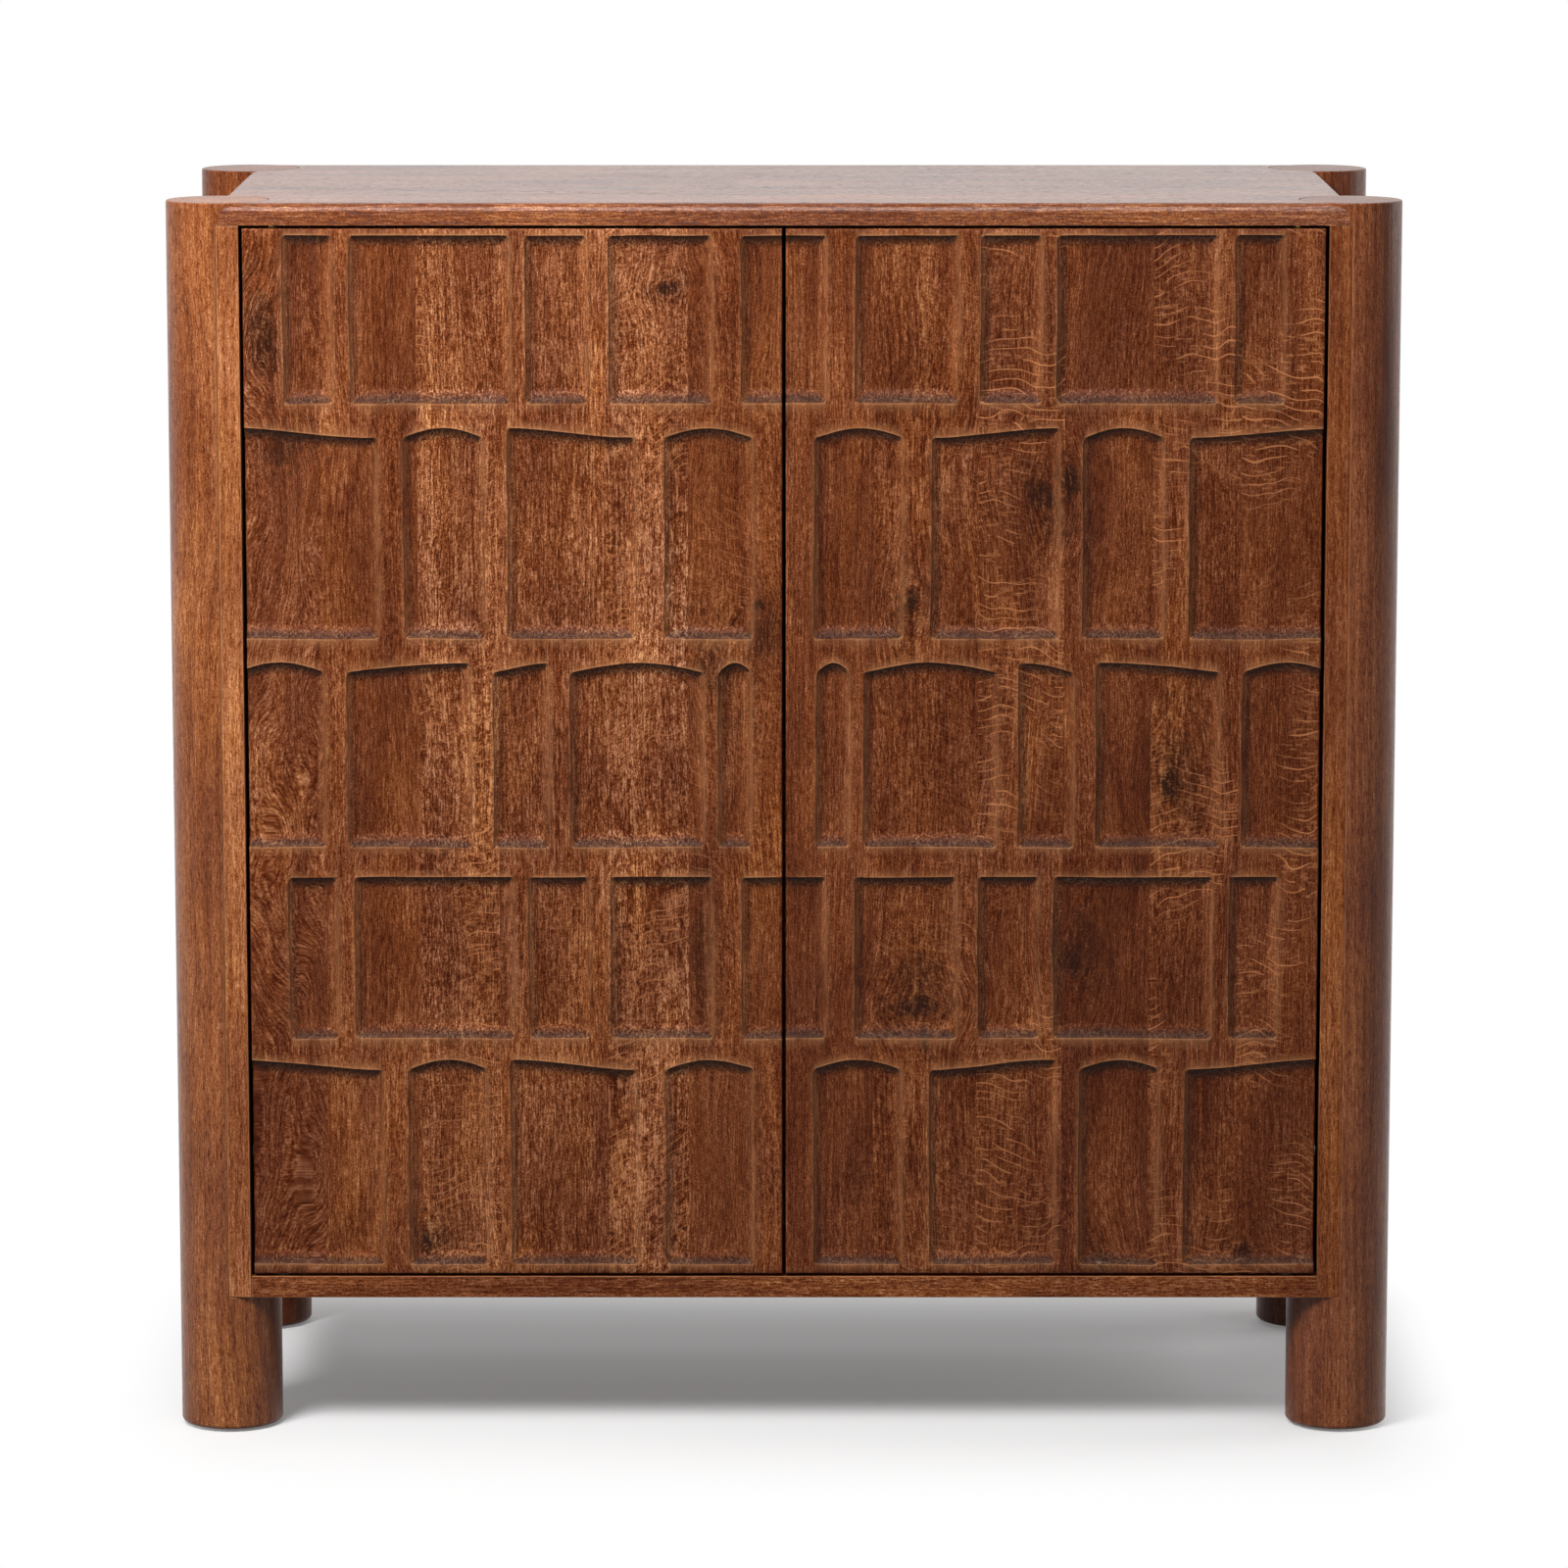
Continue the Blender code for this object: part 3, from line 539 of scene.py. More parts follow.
        # Lighter rubbed edges, and on the doors also painted highlight along the pocket rims and on slopes
        # that face the key lamp.
        colour = fx.mix(fx.math("MULTIPLY", wear_and_highlight, 0.70), colour, (0.500, 0.2300, 0.1000))
        colour = fx.mix(fx.math("MULTIPLY", crackle, 0.30), colour, (0.520, 0.3200, 0.2000))
        streaks = fx.math("MULTIPLY", glaze_and_shade, fx.total((strand, -0.60), (0.32, 1)))
        rough = fx.total((tone, -0.10), (pores, 0.22), (hollow_shade, 0.04), (streaks, 1), (polish, -1), (0.43, 1))
        return fx.put_out(Color=colour, Roughness=rough)

    @staticmethod
    def edge_wear_and_highlight() -> bpy.types.NodeTree:
        """Rubbed edges, broken up by handling; on the carved doors the same mask also carries painted
        highlight along the pocket rims.

        Returns:
            The group's tree.
        """
        fx = Effect(
            "edge_wear_and_highlight",
            [("Place", "Vector"), ("Edge", "Float"), ("Amount", "Float")],
            [("Mask", "Float")],
        )
        broken = fx.rise(fx.noise(fx.given["Place"], (60, 60, 26), 3.0), 0.22, 0.56)
        worn = fx.math("MULTIPLY", fx.given["Edge"], broken)
        return fx.put_out(Mask=fx.math("MULTIPLY", worn, fx.given["Amount"]))

    @staticmethod
    def lacquer_crackle() -> bpy.types.NodeTree:
        """Pale hairlines where the lacquer has crazed over the carving.

        Returns:
            The group's tree.
        """
        fx = Effect("lacquer_crackle", [("Place", "Vector"), ("Amount", "Float")], [("Mask", "Float")])
        cells = fx.add("ShaderNodeTexVoronoi", feature="DISTANCE_TO_EDGE")
        cells.inputs["Scale"].default_value = CRAZE_CELLS
        fx.feed(cells.inputs["Vector"], fx.given["Place"])
        line = fx.math("SUBTRACT", 1.0, fx.rise(cells.outputs["Distance"], 0.0, 0.04))
        patch = fx.rise(fx.noise(fx.given["Place"], (26, 26, 26), 1.0), 0.40, 0.58)
        held = fx.math("MULTIPLY", patch, fx.given["Amount"])
        return fx.put_out(Mask=fx.math("MULTIPLY", line, held, clamp=True))

    @staticmethod
    def brushed_metal() -> bpy.types.NodeTree:
        """Fine brushing and dulling of small metal fittings.

        Returns:
            The group's tree.
        """
        fx = Effect(
            "brushed_metal",
            [("Place", "Vector"), ("Bright", "Color"), ("Dull", "Color")],
            [("Color", "Color"), ("Roughness", "Float"), ("Height", "Float")],
        )
        brush = fx.noise(fx.given["Place"], (2600, 220, 2600), 2.0)
        cloud = fx.noise(fx.given["Place"], (140, 140, 140), 3.0, 0.6)
        dull = fx.rise(cloud, 0.38, 0.70)
        colour = fx.mix(dull, fx.given["Bright"], fx.given["Dull"])
        rough = fx.total((brush, 0.14), (dull, 0.16), (0.20, 1))
        return fx.put_out(Color=colour, Roughness=rough, Height=brush)

    @staticmethod
    def moulded_plastic() -> bpy.types.NodeTree:
        """Spark texture of a moulded plastic part.

        Returns:
            The group's tree.
        """
        fx = Effect(
            "moulded_plastic",
            [("Place", "Vector"), ("Dark", "Color"), ("Pale", "Color")],
            [("Color", "Color"), ("Roughness", "Float"), ("Height", "Float")],
        )
        spark = fx.noise(fx.given["Place"], (1800, 1800, 1800), 2.0)
        scuff = fx.rise(fx.noise(fx.given["Place"], (190, 190, 60), 3.0, 0.65), 0.52, 0.80)
        colour = fx.mix(scuff, fx.given["Dark"], fx.given["Pale"])
        rough = fx.total((spark, 0.15), (scuff, 0.12), (0.42, 1))
        return fx.put_out(Color=colour, Roughness=rough, Height=spark)


@dataclass(frozen=True)
class Board:
    """One board of an edge-glued panel."""

    width: float
    tone: float = 0.0
    fleck: float = 0.0
    curl: float = 0.05
    streak: float = 0.2
    ripple: float = 0.0
    contrast: float = 0.72


@dataclass(frozen=True)
class Knot:
    """A knot or a crack in a panel, placed across and along the grain."""

    across: float
    along: float
    size: float
    stretch: float = 1.5
    lean: float = 0.0
    dark: float = 1.0


@dataclass(frozen=True)
class OakFinish:
    """Stained oak of one piece: the run of its grain, its boards and its knots."""

    name: str
    run: GrainRun
    seed: float
    tone: float = 0.0
    fleck: float = 0.0
    curl: float = 0.05
    streak: float = 0.2
    ripple: float = 0.0
    contrast: float = 0.75
    polish: float = 0.0
    shine: float = 0.12
    heart: tuple[float, float] = (0.0, 0.0)
    start: float = 0.0
    boards: tuple[Board, ...] = ()
    knots: tuple[Knot, ...] = ()
    carved: bool = False

    def material(self, effects: Effects) -> bpy.types.Material:
        """Make the finish.

        Args:
            effects: The shared node groups.

        Returns:
            The material.
        """
        made, graph, shader = new_material(self.name)
        coords = graph.add("ShaderNodeTexCoord").outputs["Object"]
        x, y, z = graph.split(coords)
        order = {
            GrainRun.UPRIGHT: (x, y, z),
            GrainRun.ACROSS: (y, z, x),
            GrainRun.SIDEWAYS: (y, x, z),
            GrainRun.DEEP: (x, z, y),
        }[self.run]
        if any(self.heart):
            across, through = (graph.math("SUBTRACT", way, own) for way, own in zip(order, self.heart))
            order = (across, through, order[2])
        whole = graph.vector(*order)
        place, seed, tone, fleck, curl, streak, ripple, contrast = self.split_boards(graph, order, whole)
        dark, swirl = self.add_knots(graph, effects, whole)
        grain = graph.place(
            effects.grain,
            Place=place,
            Seed=seed,
            Curl=curl,
            Swirl=swirl,
            Streak=streak,
            Ripple=ripple,
            Contrast=contrast,
        )
        flecks = graph.place(effects.fleck, Place=place, Seed=seed, Amount=fleck)
        hollow_shade: Feed = 0.0
        glaze_and_shade: Feed = 0.0
        crackle: Feed = 0.0
        height: Feed = grain.outputs["Height"]
        if self.carved:
            # The pocket depth paints shade in the carving; the glaze mask paints dark glaze and shade.
            hollow_shade = graph.add("ShaderNodeAttribute", attribute_name="sunk").outputs["Fac"]
            glaze_and_shade = graph.add("ShaderNodeAttribute", attribute_name="glaze_and_shade").outputs["Fac"]
            crackle = graph.place(effects.crackle, Place=coords, Amount=glaze_and_shade).outputs[0]
            height = graph.math("MULTIPLY", height, graph.math("MULTIPLY_ADD", glaze_and_shade, -LACQUER_FILL, 1.0))
        # Rim mask: wear on eased edges, and on the doors also painted highlight.
        rim = graph.add("ShaderNodeAttribute", attribute_name="rim").outputs["Fac"]
        wear_and_highlight = graph.place(effects.wear_and_highlight, Place=coords, Edge=rim, Amount=0.9).outputs[0]
        stain = graph.place(
            effects.stain,
            **{name: grain.outputs[name] for name in ("Tone", "Pores", "Strand", "Warmth")},
            Figure=graph.math("ADD", grain.outputs["Figure"], tone),
            Fleck=flecks.outputs["Mask"],
            Knot=dark,
            Hollow=hollow_shade,
            Glaze=glaze_and_shade,
            Polish=self.polish,
            Wear=wear_and_highlight,
            Crackle=crackle,
        )
        dress(graph, shader, stain, height, GRAIN_RELIEF, 0.5)
        shader.inputs["Specular IOR Level"].default_value = self.shine
        return made

    def split_boards(self, graph: Graph, order: Sequence[Feed], whole: Feed) -> tuple[Feed, ...]:
        """Find which board a point is on.

        Args:
            graph: The material's graph.
            order: Coordinates across, through and along the grain.
            whole: The same as one vector.

        Returns:
            Coordinates from the board's middle, then its seed, tone, fleck, curl, streak, ripple and
            contrast.
        """
        if not self.boards:
            plain = (self.seed, self.tone, self.fleck, self.curl, self.streak, self.ripple, self.contrast)
            return whole, *plain
        total = sum(board.width for board in self.boards)
        looks, figures = [], []
        reached = 0.0
        for index, board in enumerate(self.boards):
            share = math.modf(self.seed * 0.37 + index * 0.618)[0]
            middle = (reached + board.width / 2) / total
            halves = (board.streak / 2, board.ripple / 2, board.contrast / 2)
            looks.append((reached / total, (board.tone * 0.5 + 0.5, share, middle, board.fleck)))
            figures.append((reached / total, (board.curl, *halves)))
            reached += board.width
        along = graph.math("DIVIDE", graph.math("SUBTRACT", order[0], self.start), total)
        look = graph.ramp(along, looks, steps=True).outputs
        half_tone, share, middle = graph.split(look["Color"])
        tone = graph.total((half_tone, 2.0), (self.tone - 1.0, 1))
        seed = graph.math("MULTIPLY_ADD", share, 10.0, self.seed)
        local = graph.math("MULTIPLY", graph.math("SUBTRACT", along, middle), total)
        figure = graph.ramp(along, figures, steps=True).outputs
        curl, *halves = graph.split(figure["Color"])
        doubled = (graph.math("MULTIPLY", half, 2.0) for half in (*halves, figure["Alpha"]))
        here = graph.vector(local, order[1], order[2])
        return here, seed, tone, look["Alpha"], curl, *doubled

    def add_knots(self, graph: Graph, effects: Effects, whole: Feed) -> tuple[Feed, Feed]:
        """Add the piece's knots.

        Args:
            graph: The material's graph.
            effects: The shared node groups.
            whole: Coordinates across, through and along the grain.

        Returns:
            How dark the knots are, and how far they bend the rings.
        """
        dark: Feed = 0.0
        swirl: Feed = 0.0
        for knot in self.knots:
            flat = graph.add("ShaderNodeVectorMath", operation="MULTIPLY")
            graph.feed(flat.inputs[0], whole)
            flat.inputs[1].default_value = (1, 0, 1)
            node = graph.place(
                effects.knot,
                Place=flat.outputs[0],
                Centre=(knot.across, 0.0, knot.along),
                Size=(knot.size, 1.0, knot.size * knot.stretch),
                Lean=math.radians(knot.lean),
            )
            shade = graph.math("MULTIPLY", node.outputs["Dark"], knot.dark)
            dark = graph.math("MAXIMUM", shade, dark)
            swirl = graph.math("MULTIPLY_ADD", node.outputs["Swirl"], knot.dark**2, swirl)
        return dark, swirl


@dataclass(frozen=True)
class MetalFinish:
    """Brushed metal of the small fittings."""

    name: str
    bright: Colour
    dull: Colour

    def material(self, effects: Effects) -> bpy.types.Material:
        """Make the finish.

        Args:
            effects: The shared node groups.

        Returns:
            The material.
        """
        made, graph, shader = new_material(self.name)
        coords = graph.add("ShaderNodeTexCoord").outputs["Object"]
        node = graph.place(effects.brushed, Place=coords, Bright=(*self.bright, 1), Dull=(*self.dull, 1))
        dress(graph, shader, node, node.outputs["Height"], BRUSH_RELIEF)
        shader.inputs["Metallic"].default_value = 1.0
        return made


@dataclass(frozen=True)
class PlasticFinish:
    """Moulded plastic of glides, washers and latch housings."""

    name: str
    dark: Colour
    pale: Colour

    def material(self, effects: Effects) -> bpy.types.Material:
        """Make the finish.

        Args:
            effects: The shared node groups.

        Returns:
            The material.
        """
        made, graph, shader = new_material(self.name)
        coords = graph.add("ShaderNodeTexCoord").outputs["Object"]
        node = graph.place(effects.moulded, Place=coords, Dark=(*self.dark, 1), Pale=(*self.pale, 1))
        dress(graph, shader, node, node.outputs["Height"], SPARK_RELIEF)
        return made


def new_material(name: str) -> tuple[bpy.types.Material, Graph, bpy.types.Node]:
    """Start a material.

    Args:
        name: The material's name.

    Returns:
        The material, its graph and its shader node.
    """
    made = bpy.data.materials.new(name)
    made.use_nodes = True
    shader = made.node_tree.nodes["Principled BSDF"]
    return made, Graph(made.node_tree), shader


def dress(
    graph: Graph,
    shader: bpy.types.Node,
    effect: bpy.types.Node,
    height: Feed,
    depth: float,
    strength: float = 1.0,
) -> None:
    """Lead an effect's colour and roughness, and a height, to a shader.

    Args:
        graph: The material's graph.
        shader: The shader node.
        effect: The placed group.
        height: The relief, from 0 to 1.
        depth: How deep the relief is, in metres.
        strength: How strongly it shows.
    """
    bump = graph.add("ShaderNodeBump")
    bump.inputs["Strength"].default_value = strength
    bump.inputs["Distance"].default_value = depth
    graph.feed(bump.inputs["Height"], height)
    graph.feed(shader.inputs["Base Color"], effect.outputs["Color"])
    graph.feed(shader.inputs["Roughness"], effect.outputs["Roughness"])
    graph.feed(shader.inputs["Normal"], bump.outputs[0])


def put_in(name: str, mesh: bpy.types.Mesh, body: str, slot: str, *stands_for: str) -> bpy.types.Object:
    """Put a mesh into the scene as a piece of the cabinet.

    Args:
        name: The piece's name.
        mesh: Its mesh, in the cabinet's own place.
        body: The moving body that it rides on.
        slot: The record's material slot; not used.
        *stands_for: CAD nodes that it replaces.

    Returns:
        The piece.
    """
    piece = bpy.data.objects.new(name, mesh)
    bpy.context.scene.collection.objects.link(piece)
    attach(piece, body)
    if stands_for:
        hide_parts(*stands_for)
    LOG.info("%s: %d faces, on %s", name, len(mesh.polygons), body)
    return piece


def round_off(mesh: bpy.types.Mesh, degrees: float) -> None:
    """Shade a mesh smooth, apart from its sharp edges.

    Args:
        mesh: The mesh.
        degrees: Angle from which an edge is sharp.
    """
    mesh.polygons.foreach_set("use_smooth", [True] * len(mesh.polygons))
    mesh.set_sharp_from_angle(angle=math.radians(degrees))


@dataclass
class EasedPart:
    """A CAD node redrawn with eased edges and smooth rounds.

    Its upper and lower faces may reach on, to close the gap that a solid keeps from its seat.
    """

    node: str
    body: str
    slot: str
    ease: float = 0.0008
    reach: float = 0.0
    steps: int = 2
    weld: float = 1e-6
    flat_angle: float = 0.5
    corner_angle: float = 50.0
    smooth_angle: float = 38.0

    def build(self, frame: dict, material: bpy.types.Material) -> None:
        """Make the piece that stands for the node.

        Args:
            frame: The loaded frame.
            material: The piece's finish.
        """
        body = bmesh.new()
        body.from_mesh(frame["nodes"][self.node].data)
        bmesh.ops.remove_doubles(body, verts=body.verts, dist=self.weld)
        flat = math.radians(self.flat_angle)
        bmesh.ops.dissolve_limit(body, angle_limit=flat, verts=body.verts, edges=body.edges)
        middle = sum(vert.co.z for vert in body.verts) / len(body.verts)
        for vert in body.verts if self.reach else ():
            vert.co.z += math.copysign(self.reach, vert.co.z - middle)
        corner = math.radians(self.corner_angle)
        sharp = [
            edge
            for edge in body.edges
            if len(edge.link_faces) == 2 and edge.calc_face_angle_signed(0.0) > corner
        ]
        rim = body.faces.layers.float.new("rim")
        if self.ease:
            eased = bmesh.ops.bevel(
                body,
                geom=sharp,
                offset=self.ease,
                segments=self.steps,
                profile=0.5,
                affect="EDGES",
                clamp_overlap=True,
            )
            for face in eased["faces"]:
                face[rim] = 1.0
        mesh = bpy.data.meshes.new(f"{self.node}_eased")
        body.to_mesh(mesh)
        body.free()
        round_off(mesh, self.smooth_angle)
        mesh.materials.clear()
        mesh.materials.append(material)
        piece = put_in(f"{self.node}_eased", mesh, self.body, self.slot, self.node)
        level = piece.modifiers.new("level_faces", "WEIGHTED_NORMAL")
        level.weight = 90
        level.keep_sharp = True


def skin(name: str, loops: Sequence[Sequence[Vector]]) -> bpy.types.Mesh:
    """Close a skin through loops of points, with a cap at both ends.

    Args:
        name: The mesh's name.
        loops: Loops of as many points each.

    Returns:
        The closed mesh.
    """
    body = bmesh.new()
    rows = [[body.verts.new(point) for point in loop] for loop in loops]
    for near, far in zip(rows, rows[1:]):
        for i, start in enumerate(near):
            j = (i + 1) % len(near)
            body.faces.new((start, near[j], far[j], far[i]))
    body.faces.new(rows[0])
    body.faces.new(rows[-1])
    bmesh.ops.recalc_face_normals(body, faces=body.faces)
    mesh = bpy.data.meshes.new(name)
    body.to_mesh(mesh)
    body.free()
    round_off(mesh, 35)
    return mesh


class Drive(Enum):
    """Recess in a screw's head."""

    CROSS = "cross"
    HEX = "hex"


@dataclass
class Screw:
    """A screw or bolt: a domed head with a driver's recess, and a plain shank."""

    name: str
    place: Vector
    way: Vector
    drive: Drive
    head: float
    height: float
    shank: float
    length: float
    dome: float
    recess: float
    deep: float
    sides: int = 36
    arm_share: float = 0.24

    def recess_radius(self, angle: float) -> float:
        """Distance from the axis to the recess's wall.

        Args:
            angle: The way from the axis.

        Returns:
            The distance in metres.
        """
        if self.drive is Drive.HEX:
            turn = (angle + math.pi / 6) % (math.pi / 3) - math.pi / 6
            return self.recess / math.cos(turn)
        along, across = abs(math.cos(angle)), abs(math.sin(angle))
        arm = self.arm_share * self.recess
        arms = ((along, across), (across, along))
        return max(min(self.recess / max(a, 1e-6), arm / max(b, 1e-6)) for a, b in arms)

    def build(self, body: str, slot: str, material: bpy.types.Material, *stands_for: str) -> None:
        """Make the piece.

        Args:
            body: The body that it rides on.
            slot: The record's material slot.
            material: Its finish.
            *stands_for: CAD nodes that it replaces.
        """
        turn = self.way.to_track_quat("Z", "Y")
        angles = [TURN * i / self.sides for i in range(self.sides)]

        def loop(level: float, reach: float, share: float = 0.0) -> list[Vector]:
            """Points of one loop round the axis.

            Args:
                level: Height above the seat.
                reach: Radius of a round loop.
                share: Share of the recess's own radius, where it isn't round.

            Returns:
                The points.
            """
            points = []
            for angle in angles:
                far = share * self.recess_radius(angle) if share else reach
                spot = Vector((far * math.cos(angle), far * math.sin(angle), level))
                points.append(self.place + turn @ spot)
            return points

        rim = self.head / 2
        crown = self.height + self.dome
        loops = [
            loop(-self.length, self.shank / 2),
            loop(0.0, self.shank / 2),
            loop(0.0, rim),
            loop(self.height * 0.7, rim),
            loop(self.height, rim * 0.94),
            loop(self.height + self.dome * 0.6, rim * 0.78),
            loop(crown, 0.0, 1.06),
            loop(crown - self.deep * 0.1, 0.0, 1.0),
            loop(crown - self.deep, 0.0, 0.82),
        ]
        mesh = skin(self.name, loops)
        mesh.materials.append(material)
        put_in(self.name, mesh, body, slot, *stands_for)


@dataclass(frozen=True)
class Pocket:
    """A carved pocket: its edges, measured from the door's hinge edge and lower edge."""

    near: float
    far: float
    sill: float
    brow: float
    top: PocketTop
    open_near: bool
    open_far: bool


S, A, R, F = PocketTop.STRAIGHT, PocketTop.ARCH, PocketTop.RISE, PocketTop.FALL

# Pockets of a row, from the hinge edge: plain rib before it, width, upper edge
PLAIN_ROW = (
    (0.0330, 0.0425, S),
    (0.0133, 0.1360, S),
    (0.0116, 0.0526, S),
    (0.0170, 0.0880, S),
    (0.0234, 0.0346, S),
)
WAVED_ROW = ((0.0, 0.1125, F), (0.0205, 0.0690, A), (0.0185, 0.1090, F), (0.0230, 0.0760, A))
ARCHED_ROW = (
    (0.0, 0.0663, A),
    (0.0175, 0.1059, R),
    (0.0176, 0.0483, R),
    (0.0167, 0.1143, A),
    (0.0108, 0.0292, A),
)
# Rows from the top of the door: plain band above it, height to the top of its arches, pockets
CARVED_ROWS = (
    (0.0054, 0.1416, PLAIN_ROW),
    (0.0202, 0.1793, WAVED_ROW),
    (0.0200, 0.1585, ARCHED_ROW),
    (0.0250, 0.1400, PLAIN_ROW),
    (0.0180, 0.1790, WAVED_ROW),
)


@dataclass(frozen=True)
class Slope:
    """How one side of a pocket is coloured: a dark mix of glaze and painted shade, how far down it reaches,
    and a painted highlight.
    """

    glaze_and_shade: float
    hold: float
    painted_highlight: float


# The dark mix is glaze and painted shade, deepest on the brows, which face down; slopes on a pocket's right
# face the key lamp on the left and get a painted highlight.
LEFT_SLOPE = Slope(0.50, 0.30, 0.0)
RIGHT_SLOPE = Slope(0.50, 0.25, 0.12)
SILL_SLOPE = Slope(0.82, 0.80, 0.0)
BROW_SLOPE = Slope(0.90, 0.95, 0.0)


@dataclass
class CarvedDoor:
    """An inset door whose face is carved in rows of sunken rectangles."""

    name: str
    side: int
    pattern_width: float = 0.4520
    pattern_height: float = 0.8950
    pocket_depth: float = 0.0062
    side_ramp: float = 0.0085
    brow_ramp: float = 0.0098
    sill_ramp: float = 0.0125
    corner: float = 0.0045
    brow_rise: float = 0.0085
    edge_ease: float = 0.0012
    rim_width: float = 0.0015
    lip: float = 0.0004
    back_gap: float = 0.0003
    coarse: int = 8
    steep_run: float = 0.0006
    side_step: float = 0.14
    sill_step: float = 0.06
    brow_step: float = 0.22
    floor_wave: float = 0.00045
    side_wave: float = 0.0008
    sill_wave: float = 0.0009
    brow_wave: float = 0.0007
    still_margin: float = 0.012
    run_out: float = 0.01
    least_gap: float = 0.00028
    widest_across: float = 0.0045
    widest_up: float = 0.0060
    smooth_angle: float = 55.0

    def __post_init__(self) -> None:
        """Take the door's place from its CAD node and lay out the pockets."""
        self.low, self.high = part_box(f"door_{self.name}")
        self.width = self.high.x - self.low.x
        self.height = self.high.z - self.low.z - 2 * self.back_gap
        self.rows = self.lay_out()

    def lay_out(self) -> list[list[Pocket]]:
        """Stretch the pattern to the door.

        Returns:
            The rows of pockets, from the top.
        """
        across = self.width / self.pattern_width
        upright = self.height / self.pattern_height
        level = self.height
        rows = []
        for band, height, pattern in CARVED_ROWS:
            brow = level - band * upright
            sill = brow - height * upright
            reached = 0.0
            row = []
            for rib, width, top in pattern:
                near = (reached + rib) * across
                reached += rib + width
                far = reached * across
                open_far = far > self.width - 2 * self.edge_ease
                row.append(Pocket(near, min(far, self.width), sill, brow, top, rib == 0, open_far))
            rows.append(row)
            level = sill
        return rows

    @staticmethod
    def thin_out(lines: Iterable[float], high: float, gap: float, widest: float) -> np.ndarray:
        """Sort grid lines, drop those that nearly coincide and fill wide gaps.

        Args:
            lines: Wanted places.
            high: The last place; the first one is 0.
            gap: The least distance of two lines.
            widest: The widest distance of two lines.

        Returns:
            The places of the lines.
        """
        kept = [0.0]
        for line in sorted(value for value in lines if gap < value < high - gap):
            if line - kept[-1] > gap:
                kept.append(line)
        kept.append(high)
        filled = [0.0]
        for start, end in zip(kept, kept[1:]):
            parts = max(1, math.ceil((end - start) / widest))
            filled += [start + (end - start) * part / parts for part in range(1, parts + 1)]
        return np.array(filled)

    def lines_across(self) -> np.ndarray:
        """Places of the upright grid lines, from the hinge edge."""
        ramp, run = self.side_ramp, self.steep_run
        insets = (-run, 0.0, run, 0.25 * ramp, 0.5 * ramp, 0.75 * ramp, ramp, ramp + self.rim_width)
        lines = [self.edge_ease * share for share in (0.35, 1.0)]
        lines += [self.width - line for line in lines]
        for row in self.rows[:3]:
            for pocket in row:
                lines += [pocket.near + inset for inset in insets]
                lines += [pocket.far - inset for inset in insets]
        return self.thin_out(lines, self.width, self.least_gap, self.widest_across)

    def lines_up(self) -> np.ndarray:
        """Places of the level grid lines, from the lower edge."""
        lines = [self.edge_ease * share for share in (0.35, 1.0)]
        lines += [self.height - line for line in lines]
        rim = (-0.0016, -self.steep_run, 0.0, self.steep_run)
        shares = (0.2, 0.4, 0.6, 0.8, 1.0, 1.15)
        for row in self.rows:
            pocket = row[0]
            lines += [pocket.brow - inset for inset in rim]
            lines += [pocket.brow - self.brow_ramp * share for share in shares]
            lines += [pocket.sill + inset for inset in rim]
            lines += [pocket.sill + self.sill_ramp * share for share in shares]
        return self.thin_out(lines, self.height, self.least_gap, self.widest_up)

    @staticmethod
    def ripple(s: np.ndarray, h: np.ndarray, seed: float) -> np.ndarray:
        """Slow uneven waves of hand work, from -1 to 1.

        Args:
            s: Distances from the hinge edge.
            h: Heights.
            seed: Which waves.

        Returns:
            The waves.
        """
        waves = np.zeros(np.broadcast(s, h).shape)
        for index in range(5):
            turn = seed * 1.7 + index * 2.399
            pace = 38 + 27 * index
            way = s * math.cos(turn) + h * math.sin(turn)
            waves += np.sin(way * pace + seed * 5.1 + index * 1.3) / (1 + 0.6 * index)
        return waves / 2.6

    def fall(self, reach: np.ndarray, ramp: float, step: float) -> np.ndarray:
        """Depth of a carved slope.

        Args:
            reach: Distance inwards from the pocket's edge.
            ramp: Where the slope meets the floor.
            step: Share of the depth that the steep part at the edge takes.

        Returns:
            The depth as a share of the pocket's.
        """
        steep = np.clip(reach / self.steep_run, 0, 1)
        rest = np.clip((reach - self.steep_run) / (ramp - self.steep_run), 0, 1)
        return step * steep + (1 - step) * (1 - (1 - rest) ** 1.2)

    def round_corners(self, side: np.ndarray, upright: np.ndarray) -> np.ndarray:
        """How far a pocket's edge draws in at its corners.

        Args:
            side: Distance inwards from the nearer side.
            upright: Distance inwards from the nearer one of sill and brow.

        Returns:
            The distances to take off.
        """
        across = np.maximum(self.corner - side, 0)
        along = np.maximum(self.corner - upright, 0)
        drawn = np.minimum(side, upright) - self.corner + np.hypot(across, along)
        return np.where((across > 0) & (along > 0), drawn, 0.0)

